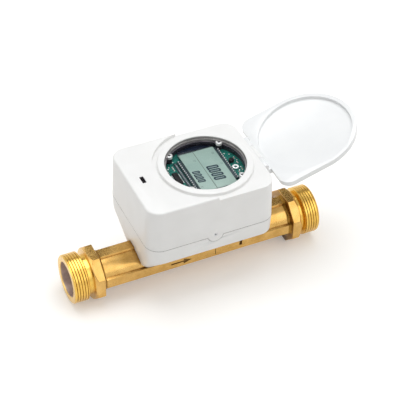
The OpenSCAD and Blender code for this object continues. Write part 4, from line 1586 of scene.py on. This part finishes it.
        # Painted shade: a near-black disc lies in each socket.
        inset, below, above = self.socket_floor
        profile = [(socket - inset, floor - below), (socket - inset, floor + above)]
        disc = Draft().turned(profile, self.socket_around)
        self.set_out("screw_sockets", places, disc, SOCKET_SHADE_STEEL, "steel")


@dataclass(frozen=True)
class Softbox:
    """A soft lamp that is aimed at the meter."""

    name: str
    place: Point
    size: float
    watts: float
    colour: Colour
    aim: Point = (112.0, 0.0, 40.0)

    def build(self) -> None:
        """Adds the lamp."""
        lamp = bpy.data.lights.new(self.name, "AREA")
        lamp.shape = "DISK"
        lamp.size = self.size * MM
        lamp.energy = self.watts
        lamp.color = self.colour
        holder = link(bpy.data.objects.new(self.name, lamp))
        holder.location = Vector(self.place) * MM
        holder.rotation_euler = (Vector(self.place) - Vector(self.aim)).to_track_quat("Z", "Y").to_euler()


@dataclass(frozen=True)
class Flag:
    """A dark upright cloth that the metal mirrors and the camera doesn't see."""

    name: str
    y: float
    x: Flat
    z: Flat

    def build(self) -> None:
        """Adds the flag."""
        (left, right), (low, high) = self.x, self.z
        corners = [(left, self.y, low), (right, self.y, low), (right, self.y, high), (left, self.y, high)]
        add_plate(self.name, corners, FLAG_CLOTH.material, False)


def add_plate(name: str, corners: Sequence[Point], material: bpy.types.Material, seen: bool = True) -> None:
    """Adds a flat plate to the studio.

    Args:
        name: Its name.
        corners: Its corners in turn, in millimetres.
        material: Its material.
        seen: Whether the camera sees it.
    """
    mesh = bpy.data.meshes.new(name)
    mesh.from_pydata([tuple(value * MM for value in corner) for corner in corners], [], [[0, 1, 2, 3]])
    mesh.materials.append(material)
    plate = link(bpy.data.objects.new(name, mesh))
    plate.visible_camera = seen
    plate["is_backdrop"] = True


@dataclass
class Studio:
    """The floor, the light and the camera at the photograph's angle."""

    azimuth: float = 25.9035
    elevation: float = 41.9957
    roll: float = -1.6349
    distance: float = 1320.34
    offset_right: float = -16.252
    offset_down: float = 27.489
    focal_px: float = 1556.65
    image_px: float = 420.0
    sensor: float = 36.0
    floor_size: float = 9000.0
    floor_colour: Colour = (0.84, 0.83, 0.81)
    sky: float = 0.5
    lift: Flat = (0.25, 0.56)
    lift_reach: Flat = (0.6, 3.5)
    lamps: tuple[Softbox, ...] = (
        Softbox("top_softbox", (250.0, 250.0, 1500.0), 1500.0, 14.6, (0.97, 0.985, 1.0)),
        Softbox("front_softbox", (620.0, -1050.0, 1000.0), 1500.0, 4.6, (1.0, 0.99, 0.97)),
        Softbox("left_softbox", (-1450.0, 150.0, 800.0), 1100.0, 3.7, (1.0, 0.99, 0.97)),
    )
    flags: tuple[Flag, ...] = (
        Flag("front_flag", -1550.0, (-2200.0, -250.0), (500.0, 2600.0)),
        Flag("back_flag", 1500.0, (150.0, 1650.0), (1150.0, 1900.0)),
    )

    def build(self) -> None:
        """Builds the floor, the light and the camera."""
        self.build_floor()
        for flag in self.flags:
            flag.build()
        self.build_sky()
        for lamp in self.lamps:
            lamp.build()
        self.build_camera()

    def in_sight(self, tree: NodeTree) -> Socket:
        """A factor that is 1 for what the camera sees itself, mirrored in metal or through glass.

        Args:
            tree: Where the factor is made.

        Returns:
            The factor.
        """
        rays = tree.add("ShaderNodeLightPath", {}).outputs
        near = tree.math("MAXIMUM", rays["Is Camera Ray"], rays["Is Glossy Ray"])
        return tree.math("MAXIMUM", near, rays["Is Transmission Ray"])

    def build_floor(self) -> None:
        """Adds the pale floor that the meter rests on."""
        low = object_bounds()[0].z / MM
        half = self.floor_size / 2.0
        shader = Shader("pale_floor")
        shader.constants(Base_Color=(*self.floor_colour, 1.0), Roughness=0.9,
                         Emission_Color=(1.0, 1.0, 1.0, 1.0))
        away = shader.add("ShaderNodeVectorMath", {}, operation="LENGTH")
        shader.feed(away.inputs[0], shader.coordinates)
        glow = shader.span(away.outputs["Value"], *self.lift, self.lift_reach)
        shader.drive("Emission Strength", shader.math("MULTIPLY", self.in_sight(shader), glow))
        corners = [(-half, -half, low), (half, -half, low), (half, half, low), (-half, half, low)]
        add_plate("floor", corners, shader.material)

    def build_sky(self) -> None:
        """Fills the surroundings with soft white light."""
        world = bpy.data.worlds.new("studio")
        bpy.context.scene.world = world
        world.use_nodes = True
        sky = NodeTree(world.node_tree)
        background = sky.tree.nodes["Background"].inputs
        background["Color"].default_value = (1.0, 1.0, 1.0, 1.0)
        sky.feed(background["Strength"], sky.span(self.in_sight(sky), self.sky, 1.0, (0.0, 1.0)))

    def build_camera(self) -> None:
        """Sets the camera where the photograph was taken from."""
        az, el, roll = (math.radians(value) for value in (self.azimuth, self.elevation, self.roll))
        ahead = Vector((math.sin(az) * math.cos(el), math.cos(az) * math.cos(el), -math.sin(el)))
        level = Vector((math.cos(az), -math.sin(az), 0.0))
        plumb = ahead.cross(level)
        right = level * math.cos(roll) + plumb * math.sin(roll)
        down = plumb * math.cos(roll) - level * math.sin(roll)
        aim = Vector((box_mm("flow_tube")[1][0] / 2.0, 0.0, 0.0))
        place = aim - ahead * self.distance - right * self.offset_right - down * self.offset_down
        data = bpy.data.cameras.new("camera")
        data.sensor_width = self.sensor
        data.lens = self.sensor * self.focal_px / self.image_px
        data.clip_end = 100.0
        camera = link(bpy.data.objects.new("camera", data))
        turn = Matrix((right, -down, -ahead)).transposed().to_4x4()
        camera.matrix_world = Matrix.Translation(place * MM) @ turn
        bpy.context.scene.camera = camera
        bpy.context.scene.view_settings.view_transform = "Standard"


def main() -> None:
    """Builds the studio and every sub-assembly in order."""
    logging.basicConfig(level=logging.INFO, format="%(message)s")
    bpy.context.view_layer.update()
    for part in (Studio(), FlowTube(), Works(), Housing(), Lid(), Display()):
        part.build()


if __name__ == "__main__":
    main()
